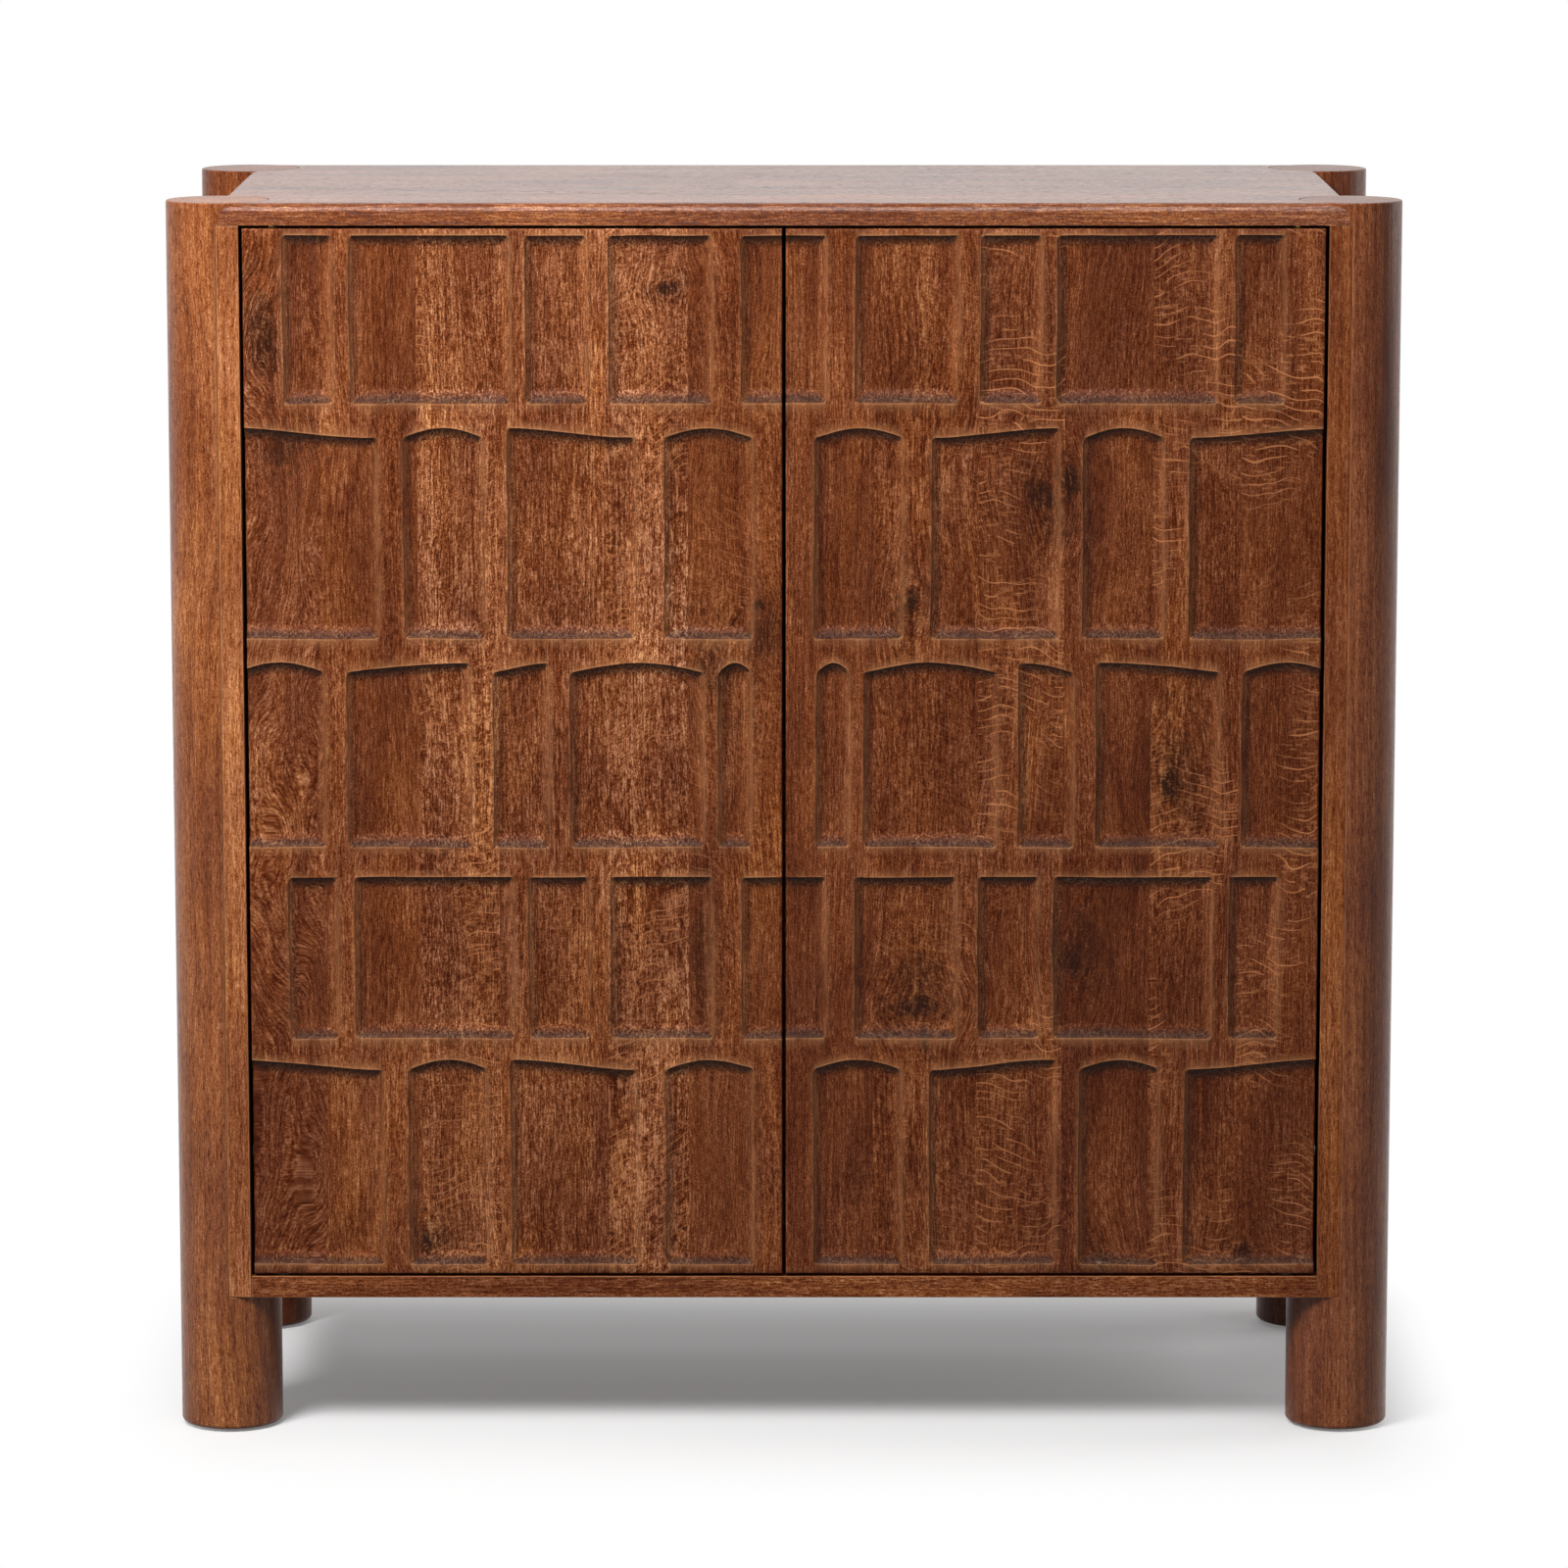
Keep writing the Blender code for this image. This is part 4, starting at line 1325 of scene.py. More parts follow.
    def carve(self, s: np.ndarray, h: np.ndarray) -> tuple[np.ndarray, ...]:
        """Depth of the carving, nearness to a pocket's rim, and where dark glaze and painted shade lie.

        Args:
            s: Distances from the hinge edge.
            h: Heights.

        Returns:
            The depths in metres, the rim mask of wear and painted highlight, and the mask of glaze and
            painted shade.
        """
        depth = np.zeros(s.shape)
        glaze_and_shade = np.zeros(s.shape)
        rim = np.zeros(s.shape)
        for row in self.rows:
            for pocket in row:
                from_near = s - pocket.near + (1.0 if pocket.open_near else 0.0)
                from_far = pocket.far - s + (1.0 if pocket.open_far else 0.0)
                ways = (from_near, from_far, h - pocket.sill, pocket.brow - h)
                cut = self.round_corners(np.minimum(*ways[:2]), np.minimum(*ways[2:]))
                from_near, from_far, above, below = (way - cut for way in ways)
                side = np.minimum(from_near, from_far)
                inside = np.minimum(np.minimum(side, above), below)
                near = self.fall(from_near, self.side_ramp, self.side_step)
                far = self.fall(from_far, self.side_ramp, self.side_step)
                lower = self.fall(above, self.sill_ramp, self.sill_step)
                upper = self.fall(below, self.brow_ramp, self.brow_step)
                left, right = (near, far) if self.side < 0 else (far, near)
                share = np.minimum(np.minimum(left, right), np.minimum(lower, upper))
                within = inside > 0
                depth = np.where(within, share * self.pocket_depth, depth)
                past = np.maximum(np.maximum(-above, -below), 0)
                out = np.sqrt(np.maximum(-side, 0) ** 2 + past**2)
                # Painted highlight: the rim lines along brows and sills are brighter than those at a
                # pocket's sides.
                bright = np.where(side > 0, 1.0, 0.3)
                rim = np.maximum(rim, bright * np.exp(-np.where(within, inside, out) / self.rim_width))
                slopes = ((left, LEFT_SLOPE), (right, RIGHT_SLOPE), (lower, SILL_SLOPE), (upper, BROW_SLOPE))
                for fallen, look in slopes:
                    # Dark is glaze and painted shade; the lighter mix on slopes that face the key lamp is
                    # painted highlight.
                    dark = look.glaze_and_shade * np.clip(2 * (1 - fallen / look.hold), 0, 1)
                    painted_highlight = look.painted_highlight * np.clip(4 * (1 - fallen), 0, 1)
                    here = within & (fallen == share)
                    glaze_and_shade = np.where(here, dark, glaze_and_shade)
                    rim = np.where(here, np.maximum(rim, painted_highlight) * (1 - dark), rim)
        return depth, rim, glaze_and_shade

    def brow_drop(self, row: Sequence[Pocket], s: np.ndarray) -> np.ndarray:
        """How far a row's upper edge lies below the top of its arches.

        Args:
            row: The row's pockets.
            s: Distances from the hinge edge.

        Returns:
            The drops.
        """
        places, drops = [], []
        for pocket in row:
            start = pocket.near - (self.run_out if pocket.open_near else 0.0)
            end = pocket.far + (self.run_out if pocket.open_far else 0.0)
            for t in np.linspace(0, 1, 25):
                arch, rise = math.sin(math.pi * t), math.sin(math.pi / 2 * t)
                line = {S: 1.0, A: arch, R: rise, F: 1 - t * t * (3 - 2 * t)}[pocket.top]
                places.append(start + (end - start) * t)
                drops.append(self.brow_rise * (1 - line))
        return np.interp(s, places, drops)

    def shift_up(self, s: np.ndarray, h: np.ndarray) -> np.ndarray:
        """How far each grid point moves up, so that grid lines follow the pockets' edges.

        Args:
            s: Places of the upright lines.
            h: Places of the level lines.

        Returns:
            The shifts, one row for each level line.
        """
        levels, moves = [0.0], [np.zeros(len(s))]
        for number, row in reversed(list(enumerate(self.rows))):
            wobble = self.ripple(s, np.full(len(s), 0.37 * number), 2.0 + number + self.side)
            levels += [row[0].sill, row[0].brow]
            moves += [self.sill_wave * wobble, -self.brow_drop(row, s) + self.brow_wave * wobble[::-1]]
        levels.append(self.height)
        moves.append(np.zeros(len(s)))
        columns = np.array(moves)
        return np.stack([np.interp(h, levels, columns[:, i]) for i in range(len(s))], axis=1)

    def build(self, material: bpy.types.Material) -> None:
        """Make the carved door.

        Args:
            material: The door's finish.
        """
        s_lines, h_lines = self.lines_across(), self.lines_up()
        s, h = np.meshgrid(s_lines, h_lines)
        depth, rim, glaze_and_shade = self.carve(s, h)
        sunk = np.clip(depth / self.pocket_depth, 0, 1)
        edge = np.minimum(np.minimum(s, self.width - s), np.minimum(h, self.height - h))
        free = np.clip(edge / self.still_margin, 0, 1)
        depth = depth + sunk * self.floor_wave * self.ripple(s, h, 9.0 + self.side)
        depth = depth + self.lip * (1 - rim) * (1 - sunk)
        depth = depth + self.edge_ease * (1 - np.clip(edge / self.edge_ease, 0, 1)) ** 2
        along = s + free * self.side_wave * self.ripple(s * 0.4, h, 4.0 + self.side)
        up = h + self.shift_up(s_lines, h_lines)
        hinge_x = self.low.x if self.side < 0 else self.high.x
        x = hinge_x - self.side * along
        y = self.low.y + depth
        z = self.low.z + self.back_gap + up
        front = np.stack([x, y, z], axis=-1).reshape(-1, 3)
        mesh = self.close_up(front, len(s_lines), len(h_lines))
        count = len(mesh.vertices) - len(front)
        for label, values in (("sunk", sunk), ("rim", rim), ("glaze_and_shade", glaze_and_shade)):
            layer = mesh.attributes.new(label, "FLOAT", "POINT")
            layer.data.foreach_set("value", np.append(values.ravel(), np.zeros(count)))
        round_off(mesh, self.smooth_angle)
        mesh.materials.append(material)
        node = f"door_{self.name}"
        put_in(f"{node}_carved", mesh, f"{self.name}_door", "carved_oak", node)

    def close_up(self, front: np.ndarray, columns: int, rows: int) -> bpy.types.Mesh:
        """Join the carved face to plain edges and a plain back.

        Args:
            front: Points of the carved face, row by row from below.
            columns: Points in a row.
            rows: Rows of points.

        Returns:
            The closed mesh.
        """
        index = np.arange(rows * columns).reshape(rows, columns)
        faces = [
            (int(index[i, j]), int(index[i, j + 1]), int(index[i + 1, j + 1]), int(index[i + 1, j]))
            for i in range(rows - 1)
            for j in range(columns - 1)
        ]
        pick_s = sorted({*range(0, columns - 1, self.coarse), columns - 1})
        pick_h = sorted({*range(0, rows - 1, self.coarse), rows - 1})
        back = len(front)
        points = [tuple(point) for point in front]
        behind = {}
        for i in pick_h:
            for j in pick_s:
                behind[i, j] = back + len(behind)
                x, _, z = points[index[i, j]]
                points.append((x, self.high.y, z))
        for i, i2 in zip(pick_h, pick_h[1:]):
            for j, j2 in zip(pick_s, pick_s[1:]):
                faces.append((behind[i, j], behind[i2, j], behind[i2, j2], behind[i, j2]))
        for j, j2 in zip(pick_s, pick_s[1:]):
            low = [int(index[0, k]) for k in range(j2, j - 1, -1)]
            faces.append((*low, behind[0, j], behind[0, j2]))
            high = [int(index[-1, k]) for k in range(j, j2 + 1)]
            faces.append((*high, behind[rows - 1, j2], behind[rows - 1, j]))
        for i, i2 in zip(pick_h, pick_h[1:]):
            first = [int(index[k, 0]) for k in range(i, i2 + 1)]
            faces.append((*first, behind[i2, 0], behind[i, 0]))
            last = [int(index[k, -1]) for k in range(i2, i - 1, -1)]
            faces.append((*last, behind[i, columns - 1], behind[i2, columns - 1]))
        if self.side > 0:
            faces = [tuple(reversed(face)) for face in faces]
        mesh = bpy.data.meshes.new(f"door_{self.name}_carved")
        mesh.from_pydata(points, [], faces)
        mesh.validate()
        return mesh


@dataclass(frozen=True)
class Lamp:
    """A soft box: its place, what it points at, its size and power, and which light it gives."""

    name: str
    place: tuple[float, float, float]
    aim: tuple[float, float, float]
    width: float
    height: float
    power: float
    gloss: bool = True
    matt: bool = True


LAMPS = (
    Lamp("key", (-1.21, -1.73, 2.35), (-0.1, -0.2, 0.65), 1.0, 0.9, 84.0, gloss=False),
    Lamp("overhead", (0.0, -1.4, 2.9), (0.0, -0.1, 0.6), 1.8, 0.8, 14.0),
    Lamp("fill", (2.5, -1.1, 1.7), (0.0, -0.2, 0.9), 1.0, 1.2, 6.0),
    Lamp("side", (2.6, 0.7, 1.5), (0.4, 0.0, 0.6), 1.2, 1.4, 13.0),
    Lamp("back", (0.0, 2.4, 1.1), (0.0, 0.4, 0.0), 3.2, 1.2, 24.0, gloss=False),
    Lamp("gleam", (-0.2, -2.1, 2.5), (0.0, -0.2, 0.7), 1.6, 0.7, 26.0, matt=False),
)


@dataclass
class Studio:
    """Camera, soft lights, pale floor and white surroundings."""

    camera_place: tuple[float, float, float] = (0.0, -6.0385, 1.500)
    pitch: float = 9.15
    lens: float = 159.75
    sensor: float = 36.0
    floor_reach: float = 9.0
    shadow_half_width: float = 0.47
    shadow_half_depth: float = 0.21
    shadow_fade: float = 0.28
    side_fade: float = 2.2
    shadow_lift: float = 0.16
    dim_white: float = 0.12
    soft_fill: float = 0.17

    def build(self) -> None:
        """Set up the studio round the cabinet."""
        self.add_camera()
        self.add_lights()
        self.add_floor()
        self.add_world()
        bpy.context.scene.view_settings.view_transform = "Standard"

    def add_camera(self) -> None:
        """Put the camera where the photograph was taken from."""
        data = bpy.data.cameras.new("camera")
        data.sensor_width = self.sensor
        data.lens = self.lens
        camera = bpy.data.objects.new("camera", data)
        camera.location = self.camera_place
        camera.rotation_euler = (math.radians(90 - self.pitch), 0, 0)
        bpy.context.scene.collection.objects.link(camera)
        bpy.context.scene.camera = camera

    def add_lights(self) -> None:
        """Hang the soft boxes: a high key on the left, weak ones around, and one that only gleams."""
        for lamp in LAMPS:
            data = bpy.data.lights.new(lamp.name, "AREA")
            data.shape = "RECTANGLE"
            data.size, data.size_y = lamp.width, lamp.height
            data.energy = lamp.power
            light = bpy.data.objects.new(lamp.name, data)
            light.location = lamp.place
            way = Vector(lamp.aim) - Vector(lamp.place)
            light.rotation_euler = way.to_track_quat("-Z", "Y").to_euler()
            light.visible_glossy = lamp.gloss
            light.visible_diffuse = lamp.matt
            bpy.context.scene.collection.objects.link(light)

    def add_floor(self) -> None:
        """Lay a pale floor that turns to plain white away from the cabinet."""
        body = bmesh.new()
        bmesh.ops.create_grid(body, x_segments=8, y_segments=8, size=self.floor_reach)
        mesh = bpy.data.meshes.new("floor")
        body.to_mesh(mesh)
        body.free()
        floor = bpy.data.objects.new("floor", mesh)
        bpy.context.scene.collection.objects.link(floor)
        made, graph, shader = new_material("pale_floor")
        coords = graph.add("ShaderNodeTexCoord").outputs["Object"]
        x, y, _ = graph.split(coords)
        past_x, past_y = (
            graph.math("MAXIMUM", graph.math("SUBTRACT", graph.math("ABSOLUTE", way), half), 0.0)
            for way, half in ((x, self.shadow_half_width), (y, self.shadow_half_depth))
        )
        away = graph.distance(graph.math("MULTIPLY", past_x, self.side_fade), past_y)
        mottle = graph.noise(coords, (6, 6, 6), 2.0)
        tint = graph.mix(mottle, (0.86, 0.86, 0.86), (0.88, 0.88, 0.88))
        rays = graph.add("ShaderNodeLightPath").outputs
        graph.feed(shader.inputs["Base Color"], graph.mix(rays["Is Diffuse Ray"], tint, (0.14, 0.14, 0.14)))
        shader.inputs["Roughness"].default_value = 0.9
        shader.inputs["Specular IOR Level"].default_value = 0.1
        glow = graph.add("ShaderNodeEmission")
        both = graph.add("ShaderNodeMixShader")
        faded = graph.rise(away, 0.0, self.shadow_fade)
        clear = graph.total((faded, 1 - self.shadow_lift), (self.shadow_lift, 1))
        gloss = graph.math("MAXIMUM", rays["Is Glossy Ray"], rays["Is Transmission Ray"])
        seen = graph.math("MAXIMUM", rays["Is Camera Ray"], gloss)
        graph.feed(both.inputs[0], graph.math("MULTIPLY", seen, clear))
        graph.feed(both.inputs[1], shader.outputs[0])
        graph.feed(both.inputs[2], glow.outputs[0])
        output = made.node_tree.nodes["Material Output"]
        graph.feed(output.inputs["Surface"], both.outputs[0])
        mesh.materials.append(made)

    def add_world(self) -> None:
        """Surround the cabinet with white that the camera and the gloss see, and soft fill light."""
        world = bpy.data.worlds.new("studio")
        world.use_nodes = True
        bpy.context.scene.world = world
        graph = Graph(world.node_tree)
        background = world.node_tree.nodes["Background"]
        background.inputs["Color"].default_value = (1, 1, 1, 1)
        rays = graph.add("ShaderNodeLightPath").outputs
        way = graph.split(graph.add("ShaderNodeTexCoord").outputs["Generated"])[1]
        behind = graph.rise(way, -0.05, 0.40)
        backdrop = graph.total((behind, 1 - self.dim_white), (self.dim_white, 1))
        gloss = graph.math("MAXIMUM", rays["Is Glossy Ray"], rays["Is Transmission Ray"])
        mirrored = graph.math("MULTIPLY", gloss, backdrop)
        lit = graph.total((mirrored, 1), (graph.math("SUBTRACT", 1.0, gloss), self.soft_fill))
        strength = graph.math("MAXIMUM", rays["Is Camera Ray"], lit)
        graph.feed(background.inputs["Strength"], strength)


SIDE_BOARDS = (
    Board(0.083, 0.03),
    Board(0.071, -0.05, 0.4),
    Board(0.094, 0.02),
    Board(0.066, -0.02, 0.2),
    Board(0.120, 0.04),
)
BACK_BOARDS = (
    Board(0.118, 0.02),
    Board(0.096, -0.04),
    Board(0.131, 0.03, 0.3),
    Board(0.104, -0.01),
    Board(0.122, 0.04),
    Board(0.089, -0.05, 0.4),
    Board(0.127, 0.0),
    Board(0.220, 0.03),
)


@dataclass
class Cabinet:
    """The whole cabinet: carcass, fittings and doors.

    Places of screws are measured from the end or edge of what they hold.
    """

    frame: dict
    effects: Effects
    seat_gap: float = 0.0003
    plate_thickness: float = 0.003
    plate_screws: tuple[float, ...] = (0.008, 0.031)
    plate_screw_head: float = 0.0066
    latch_screws: tuple[float, ...] = (0.030, 0.048)
    latch_screw_head: float = 0.0055
    rail_screw_inset: float = 0.040
    wood_screw_head: float = 0.0070
    shelf_screws: tuple[float, ...] = (-0.40, -0.24, -0.08, 0.08, 0.24, 0.40)
    divider_screws: tuple[float, ...] = (0.24, 0.44)
    bolt_head: float = 0.0040
    bolt_dome: float = 0.0008
    bolt_shank: float = 0.0058
    bolt_socket: float = 0.0020
    bolt_socket_depth: float = 0.0025

    def build(self) -> None:
        """Make every piece in order."""
        self.build_posts()
        self.build_panels()
        self.build_inside()
        self.build_fittings()
        self.build_doors()

    def eased(
        self, node: str, body: str, slot: str, finish: object, ease: float = 0.0008, reach: float = 0.0
    ) -> None:
        """Redraw one CAD node.

        Args:
            node: The node's name.
            body: The body that it rides on.
            slot: The record's material slot.
            finish: Its finish, or a material that is already made.
            ease: How far its edges are eased.
            reach: How far its upper and lower faces reach on.
        """
        material = finish if isinstance(finish, bpy.types.Material) else finish.material(self.effects)
        EasedPart(node, body, slot, ease, reach).build(self.frame, material)

    def build_posts(self) -> None:
        """Round corner posts with end grain on top, and their glides."""
        plastic = PlasticFinish("glide_plastic", (0.016, 0.015, 0.014), (0.06, 0.058, 0.055))
        glide = plastic.material(self.effects)
        # front_left is set lighter than front_right: painted light, as the key lamp on the left lights the
        # front left post more.
        tones = {"front_left": 0.22, "front_right": 0.05, "back_left": 0.0, "back_right": 0.0}
        for number, (place, tone) in enumerate(tones.items()):
            low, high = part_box(f"post_{place}")
            finish = OakFinish(
                f"oak_post_{place}",
                GrainRun.UPRIGHT,
                3.1 + 1.7 * number,
                tone,
                curl=0.03,
                contrast=0.5,
                polish=0.10,
                shine=0.22,
                heart=((low.x + high.x) / 2, (low.y + high.y) / 2),
            )
            self.eased(f"post_{place}", "carcass", "stained_oak", finish, 0.0006)
            self.eased(f"glide_{place}", "carcass", "dark_plastic", glide, 0.0)

    def build_panels(self) -> None:
        """Top, bottom, sides and back."""
        top = OakFinish(
            "oak_top",
            GrainRun.ACROSS,
            5.3,
            0.06,
            contrast=0.8,
            polish=0.14,
            shine=0.5,
            start=-0.2285,
            boards=(Board(0.094, 0.02), Board(0.102, -0.05), Board(0.088, 0.03), Board(0.173, -0.02)),
        )
        self.eased("top_panel", "carcass", "stained_oak", top)
        bottom = OakFinish("oak_bottom", GrainRun.ACROSS, 8.9, 0.07, 0.15)
        self.eased("bottom_panel", "carcass", "stained_oak", bottom)
        for name, side in SIDES:
            low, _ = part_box(f"side_panel_{name}")
            finish = OakFinish(
                f"oak_side_{name}",
                GrainRun.SIDEWAYS,
                12.7 + side,
                start=low.y,
                # The left panel's front-edge board is lighter than the right's: painted light from the key
                # lamp on the left.
                boards=(Board(0.052, 0.29 if side < 0 else 0.11, contrast=0.5), *SIDE_BOARDS),
            )
            self.eased(f"side_panel_{name}", "carcass", "stained_oak", finish)
        low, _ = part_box("back_panel")
        back = OakFinish("oak_back", GrainRun.UPRIGHT, 21.3, 0.03, start=low.x, boards=BACK_BOARDS)
        self.eased("back_panel", "carcass", "inner_oak", back, reach=self.seat_gap)

    def build_inside(self) -> None:
        """Shelves, divider, glass rails and bottle rails."""
        across = OakFinish("oak_shelf", GrainRun.ACROSS, 31.7, 0.05).material(self.effects)
        upright = OakFinish("oak_divider", GrainRun.UPRIGHT, 33.9, 0.05).material(self.effects)
        deep = OakFinish("oak_stem_rail", GrainRun.DEEP, 35.1, 0.04).material(self.effects)
        for node in ("mid_shelf", "loose_shelf"):
            self.eased(node, "carcass", "inner_oak", across)
        self.eased("centre_divider", "carcass", "inner_oak", upright)
        for number in range(1, 6):
            self.eased(f"stem_rail_{number}", "carcass", "inner_oak", deep)
        for tier in range(1, 4):
            for end in ENDS:
                self.eased(f"bottle_rail_{end}_{tier}", "carcass", "inner_oak", across)

    def build_fittings(self) -> None:
        """Pivots, latches, pegs and bolts."""
        brass = MetalFinish("brushed_brass", (0.62, 0.42, 0.17), (0.40, 0.26, 0.10)).material(self.effects)
        steel = MetalFinish("brushed_steel", (0.44, 0.43, 0.42), (0.27, 0.265, 0.26)).material(self.effects)
        black = PlasticFinish("latch_plastic", (0.020, 0.019, 0.018), (0.07, 0.068, 0.065))
        plastic = black.material(self.effects)
        for name, _ in SIDES:
            for end in ("top", "bottom"):
                self.eased(f"pivot_plate_{name}_{end}", "carcass", "brass", brass, 0.0003)
                self.eased(f"pivot_bush_{name}_{end}", f"{name}_door", "brass", brass, 0.0002)
            self.eased(f"thrust_washer_{name}", "carcass", "dark_plastic", plastic, 0.0002)
            self.eased(f"latch_housing_{name}", "carcass", "dark_plastic", plastic, 0.0008)
            self.eased(f"latch_plunger_{name}", f"{name}_plunger", "steel", steel, 0.0004)
            self.eased(f"strike_{name}", f"{name}_door", "steel", steel, 0.0002)
            for end in ENDS:
                for level in ("low", "high"):
                    self.add_bolt(f"post_bolt_{end}_{name}_{level}", steel)
        self.add_screws(brass, steel)
        for wall in ("divider", "side"):
            for end in ENDS:
                self.eased(f"shelf_peg_{wall}_{end}", "carcass", "brass", brass, 0.0003)

    def add_bolt(self, node: str, material: bpy.types.Material) -> None:
        """Redraw a post bolt with a domed socket head.

        Args:
            node: The bolt's node.
            material: Its finish.
        """
        low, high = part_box(node)
        middle = (low + high) / 2
        side = 1 if middle.x > 0 else -1
        inner, outer = (low.x, high.x) if side > 0 else (high.x, low.x)
        seat = Vector((inner + side * self.bolt_head, middle.y, middle.z))
        bolt = Screw(
            f"{node}_socket_head",
            seat,
            Vector((-side, 0, 0)),
            Drive.HEX,
            head=high.z - low.z,
            height=self.bolt_head - self.bolt_dome,
            shank=self.bolt_shank,
            length=abs(outer - seat.x),
            dome=self.bolt_dome,
            recess=self.bolt_socket,
            deep=self.bolt_socket_depth,
        )
        bolt.build("carcass", "steel", material, node)

    def add_screws(self, brass: bpy.types.Material, steel: bpy.types.Material) -> None:
        """Drive the screws that hold pivot plates, latches, glass rails and the back.

        Args:
            brass: Finish of the pivot plates' screws.
            steel: Finish of the others.
        """
        up, down, back = Vector((0, 0, 1)), Vector((0, 0, -1)), Vector((0, 1, 0))
        for name, side in SIDES:
            for end, way in (("top", down), ("bottom", up)):
                low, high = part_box(f"pivot_plate_{name}_{end}")
                top = end == "top"
                level = high.z - self.plate_thickness if top else low.z + self.plate_thickness
                inner = low.x if side > 0 else high.x
                for number, reach in enumerate(self.plate_screws, 1):
                    place = Vector((inner + side * reach, (low.y + high.y) / 2, level))
                    label = f"plate_screw_{name}_{end}_{number}"
                    self.add_screw(label, place, way, self.plate_screw_head, brass, "brass")
            low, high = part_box(f"latch_housing_{name}")
            for number, reach in enumerate(self.latch_screws, 1):
                place = Vector(((low.x + high.x) / 2, low.y + reach, low.z))
                label = f"latch_screw_{name}_{number}"
                self.add_screw(label, place, down, self.latch_screw_head, steel)
        for number in range(1, 6):
            low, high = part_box(f"stem_rail_{number}")
            for end, y in zip(ENDS, (low.y + self.rail_screw_inset, high.y - self.rail_screw_inset)):
                place = Vector(((low.x + high.x) / 2, y, low.z))
                self.add_screw(f"rail_screw_{number}_{end}", place, down, self.wood_screw_head, steel)
        back_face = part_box("back_panel")[1].y
        shelf_low, shelf_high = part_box("mid_shelf")
        level = (shelf_low.z + shelf_high.z) / 2
        for number, x in enumerate(self.shelf_screws, 1):
            place = Vector((x, back_face, level))
            self.add_screw(f"back_screw_shelf_{number}", place, back, self.wood_screw_head, steel)
        for number, z in enumerate(self.divider_screws, 1):
            place = Vector((0.0, back_face, z))
            self.add_screw(f"back_screw_divider_{number}", place, back, self.wood_screw_head, steel)

    @staticmethod
    def add_screw(
        name: str,
        place: Vector,
        way: Vector,
        head: float,
        material: bpy.types.Material,
        slot: str = "steel",
    ) -> None:
        """Drive one screw with a cross recess.

        Args:
            name: The screw's name.
            place: Where its head sits.
            way: The way that its head faces.
            head: The head's diameter.
            material: Its finish.
            slot: The record's material slot.
        """
        screw = Screw(
            name,
            place,
            way,
            Drive.CROSS,
            head,
            height=0.0003,
            shank=head * 0.5,
            length=0.0015,
            dome=0.0004,
            recess=head * 0.30,
            deep=0.0006,
        )
        screw.build("carcass", slot, material)

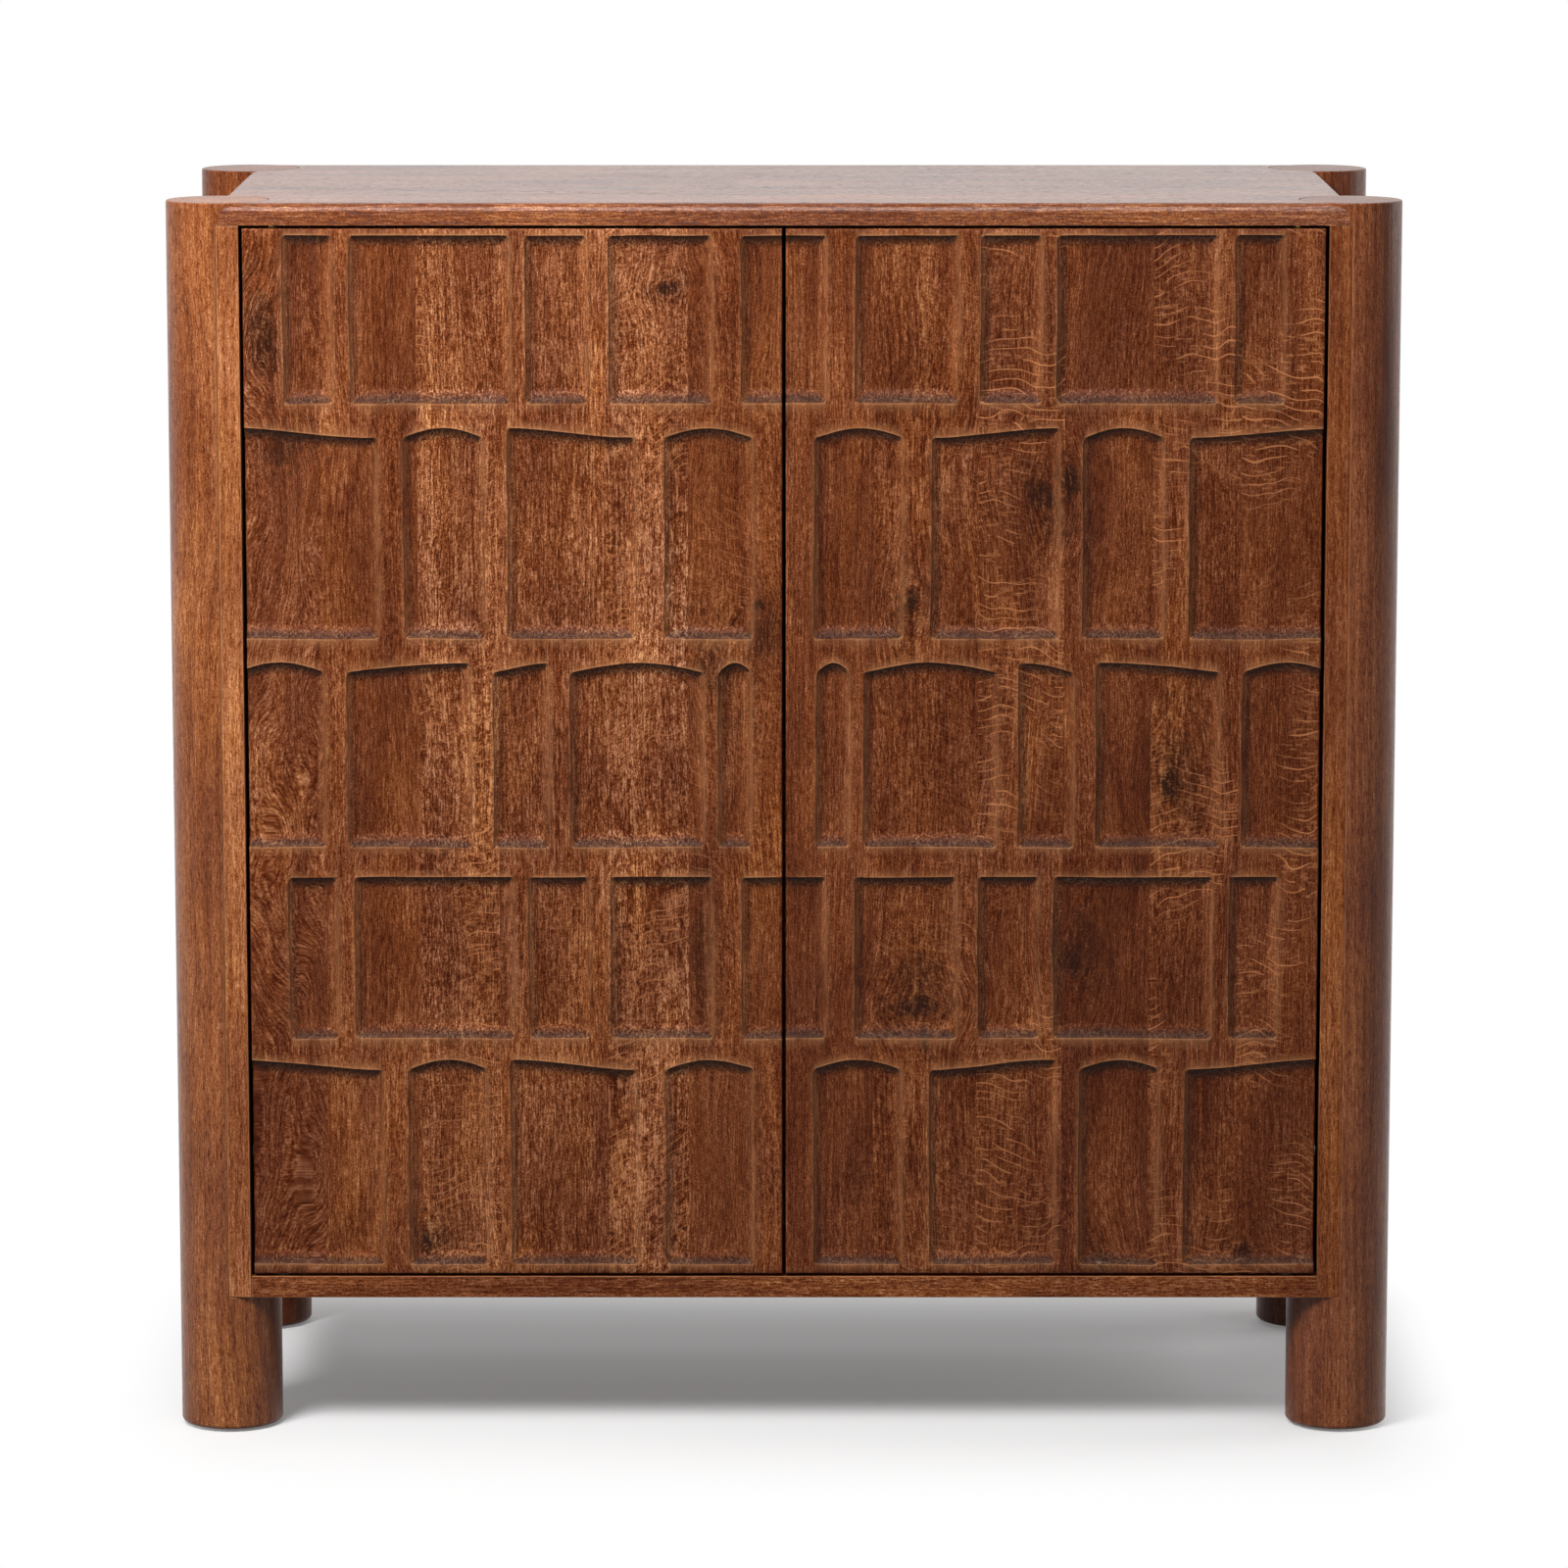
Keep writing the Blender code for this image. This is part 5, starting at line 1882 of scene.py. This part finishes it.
    def build_doors(self) -> None:
        """The two carved doors."""
        left = OakFinish(
            "oak_door_left",
            GrainRun.UPRIGHT,
            2.6,
            0.03,
            start=-0.453,
            boards=(
                Board(0.0625, -0.05, 0.0, 0.20, 0.7, 0.6, 0.8),
                Board(0.082, 0.01, 0.0, 0.016),
                Board(0.067, 0.08, 0.8, 0.030, 0.2, 1.7, 1.0),
                Board(0.091, 0.03, 0.2, 0.012, 0.2, 0.8, 0.9),
                Board(0.068, 0.09, 0.8, 0.018, 0.2, 1.9, 1.0),
                Board(0.081, -0.05, 0.3, 0.045),
            ),
            knots=(
                Knot(-0.098, 0.984, 0.0130, 0.55, 20.0),
                Knot(-0.437, 0.945, 0.0150, 2.8, 4.0, 0.80),
                Knot(-0.420, 0.850, 0.0150, 1.3, -40.0, 0.75),
                Knot(-0.305, 0.167, 0.0080, 1.4, -10.0),
                Knot(-0.041, 0.704, 0.0012, 9.0, -37.0),
                Knot(-0.022, 0.716, 0.0060, 0.8, 0.0),
                Knot(-0.018, 0.690, 0.0160, 1.8, -30.0, 0.55),
                Knot(-0.070, 0.410, 0.0120, 4.5, 0.0, 0.55),
                Knot(-0.060, 0.665, 0.0200, 1.8, 15.0, 0.55),
                Knot(-0.300, 0.170, 0.0180, 1.0, 0.0, 0.55),
            ),
            carved=True,
        )
        right = OakFinish(
            "oak_door_right",
            GrainRun.UPRIGHT,
            7.4,
            # The right door is set darker than the left: painted shade for the light falling off away from
            # the key lamp on the left.
            -0.075,
            start=0.0015,
            boards=(
                Board(0.074, 0.02, 0.0, 0.012, 1.0),
                Board(0.087, 0.06, 0.3, 0.030, 0.3, 1.1, 0.8),
                Board(0.072, 0.02, 0.9, 0.050, 0.2, 0.5, 0.8),
                Board(0.074, -0.08, 0.0, 0.060, 0.4, 0.4),
                Board(0.075, -0.02, 0.9, 0.018, 0.2, 0.5, 0.8),
                Board(0.0695, 0.0, 1.0, 0.018),
            ),
            knots=(
                Knot(0.216, 0.8085, 0.0150, 1.3, 35.0),
                Knot(0.241, 0.8210, 0.0085, 1.9, 5.0),
                Knot(0.1075, 0.721, 0.0090, 1.5, -15.0),
                Knot(0.328, 0.563, 0.0130, 1.5, 10.0),
                Knot(0.112, 0.371, 0.0210, 0.55, 8.0),
                Knot(0.120, 0.343, 0.0040, 3.0, 12.0),
                Knot(0.245, 0.411, 0.0110, 1.7, 8.0),
                Knot(0.391, 0.159, 0.0110, 0.7, 0.0),
                Knot(0.102, 0.705, 0.0150, 2.2, 0.0, 0.50),
                Knot(0.225, 0.790, 0.0240, 1.2, 40.0, 0.50),
                Knot(0.334, 0.575, 0.0180, 2.4, 5.0, 0.55),
                Knot(0.115, 0.395, 0.0280, 1.0, 0.0, 0.50),
                Knot(0.255, 0.430, 0.0150, 2.2, 5.0, 0.55),
                Knot(0.272, 0.150, 0.0140, 0.8, 0.0, 0.60),
            ),
            carved=True,
        )
        for (name, side), finish in zip(SIDES, (left, right)):
            CarvedDoor(name, side).build(finish.material(self.effects))


def main() -> None:
    """Build the cabinet and its studio round the frame."""
    logging.basicConfig(level=logging.INFO, format="%(name)s: %(message)s")
    for leftover in list(bpy.data.objects):
        bpy.data.objects.remove(leftover)
    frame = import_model()
    Studio().build()
    Cabinet(frame, Effects()).build()


if __name__ == "__main__":
    main()
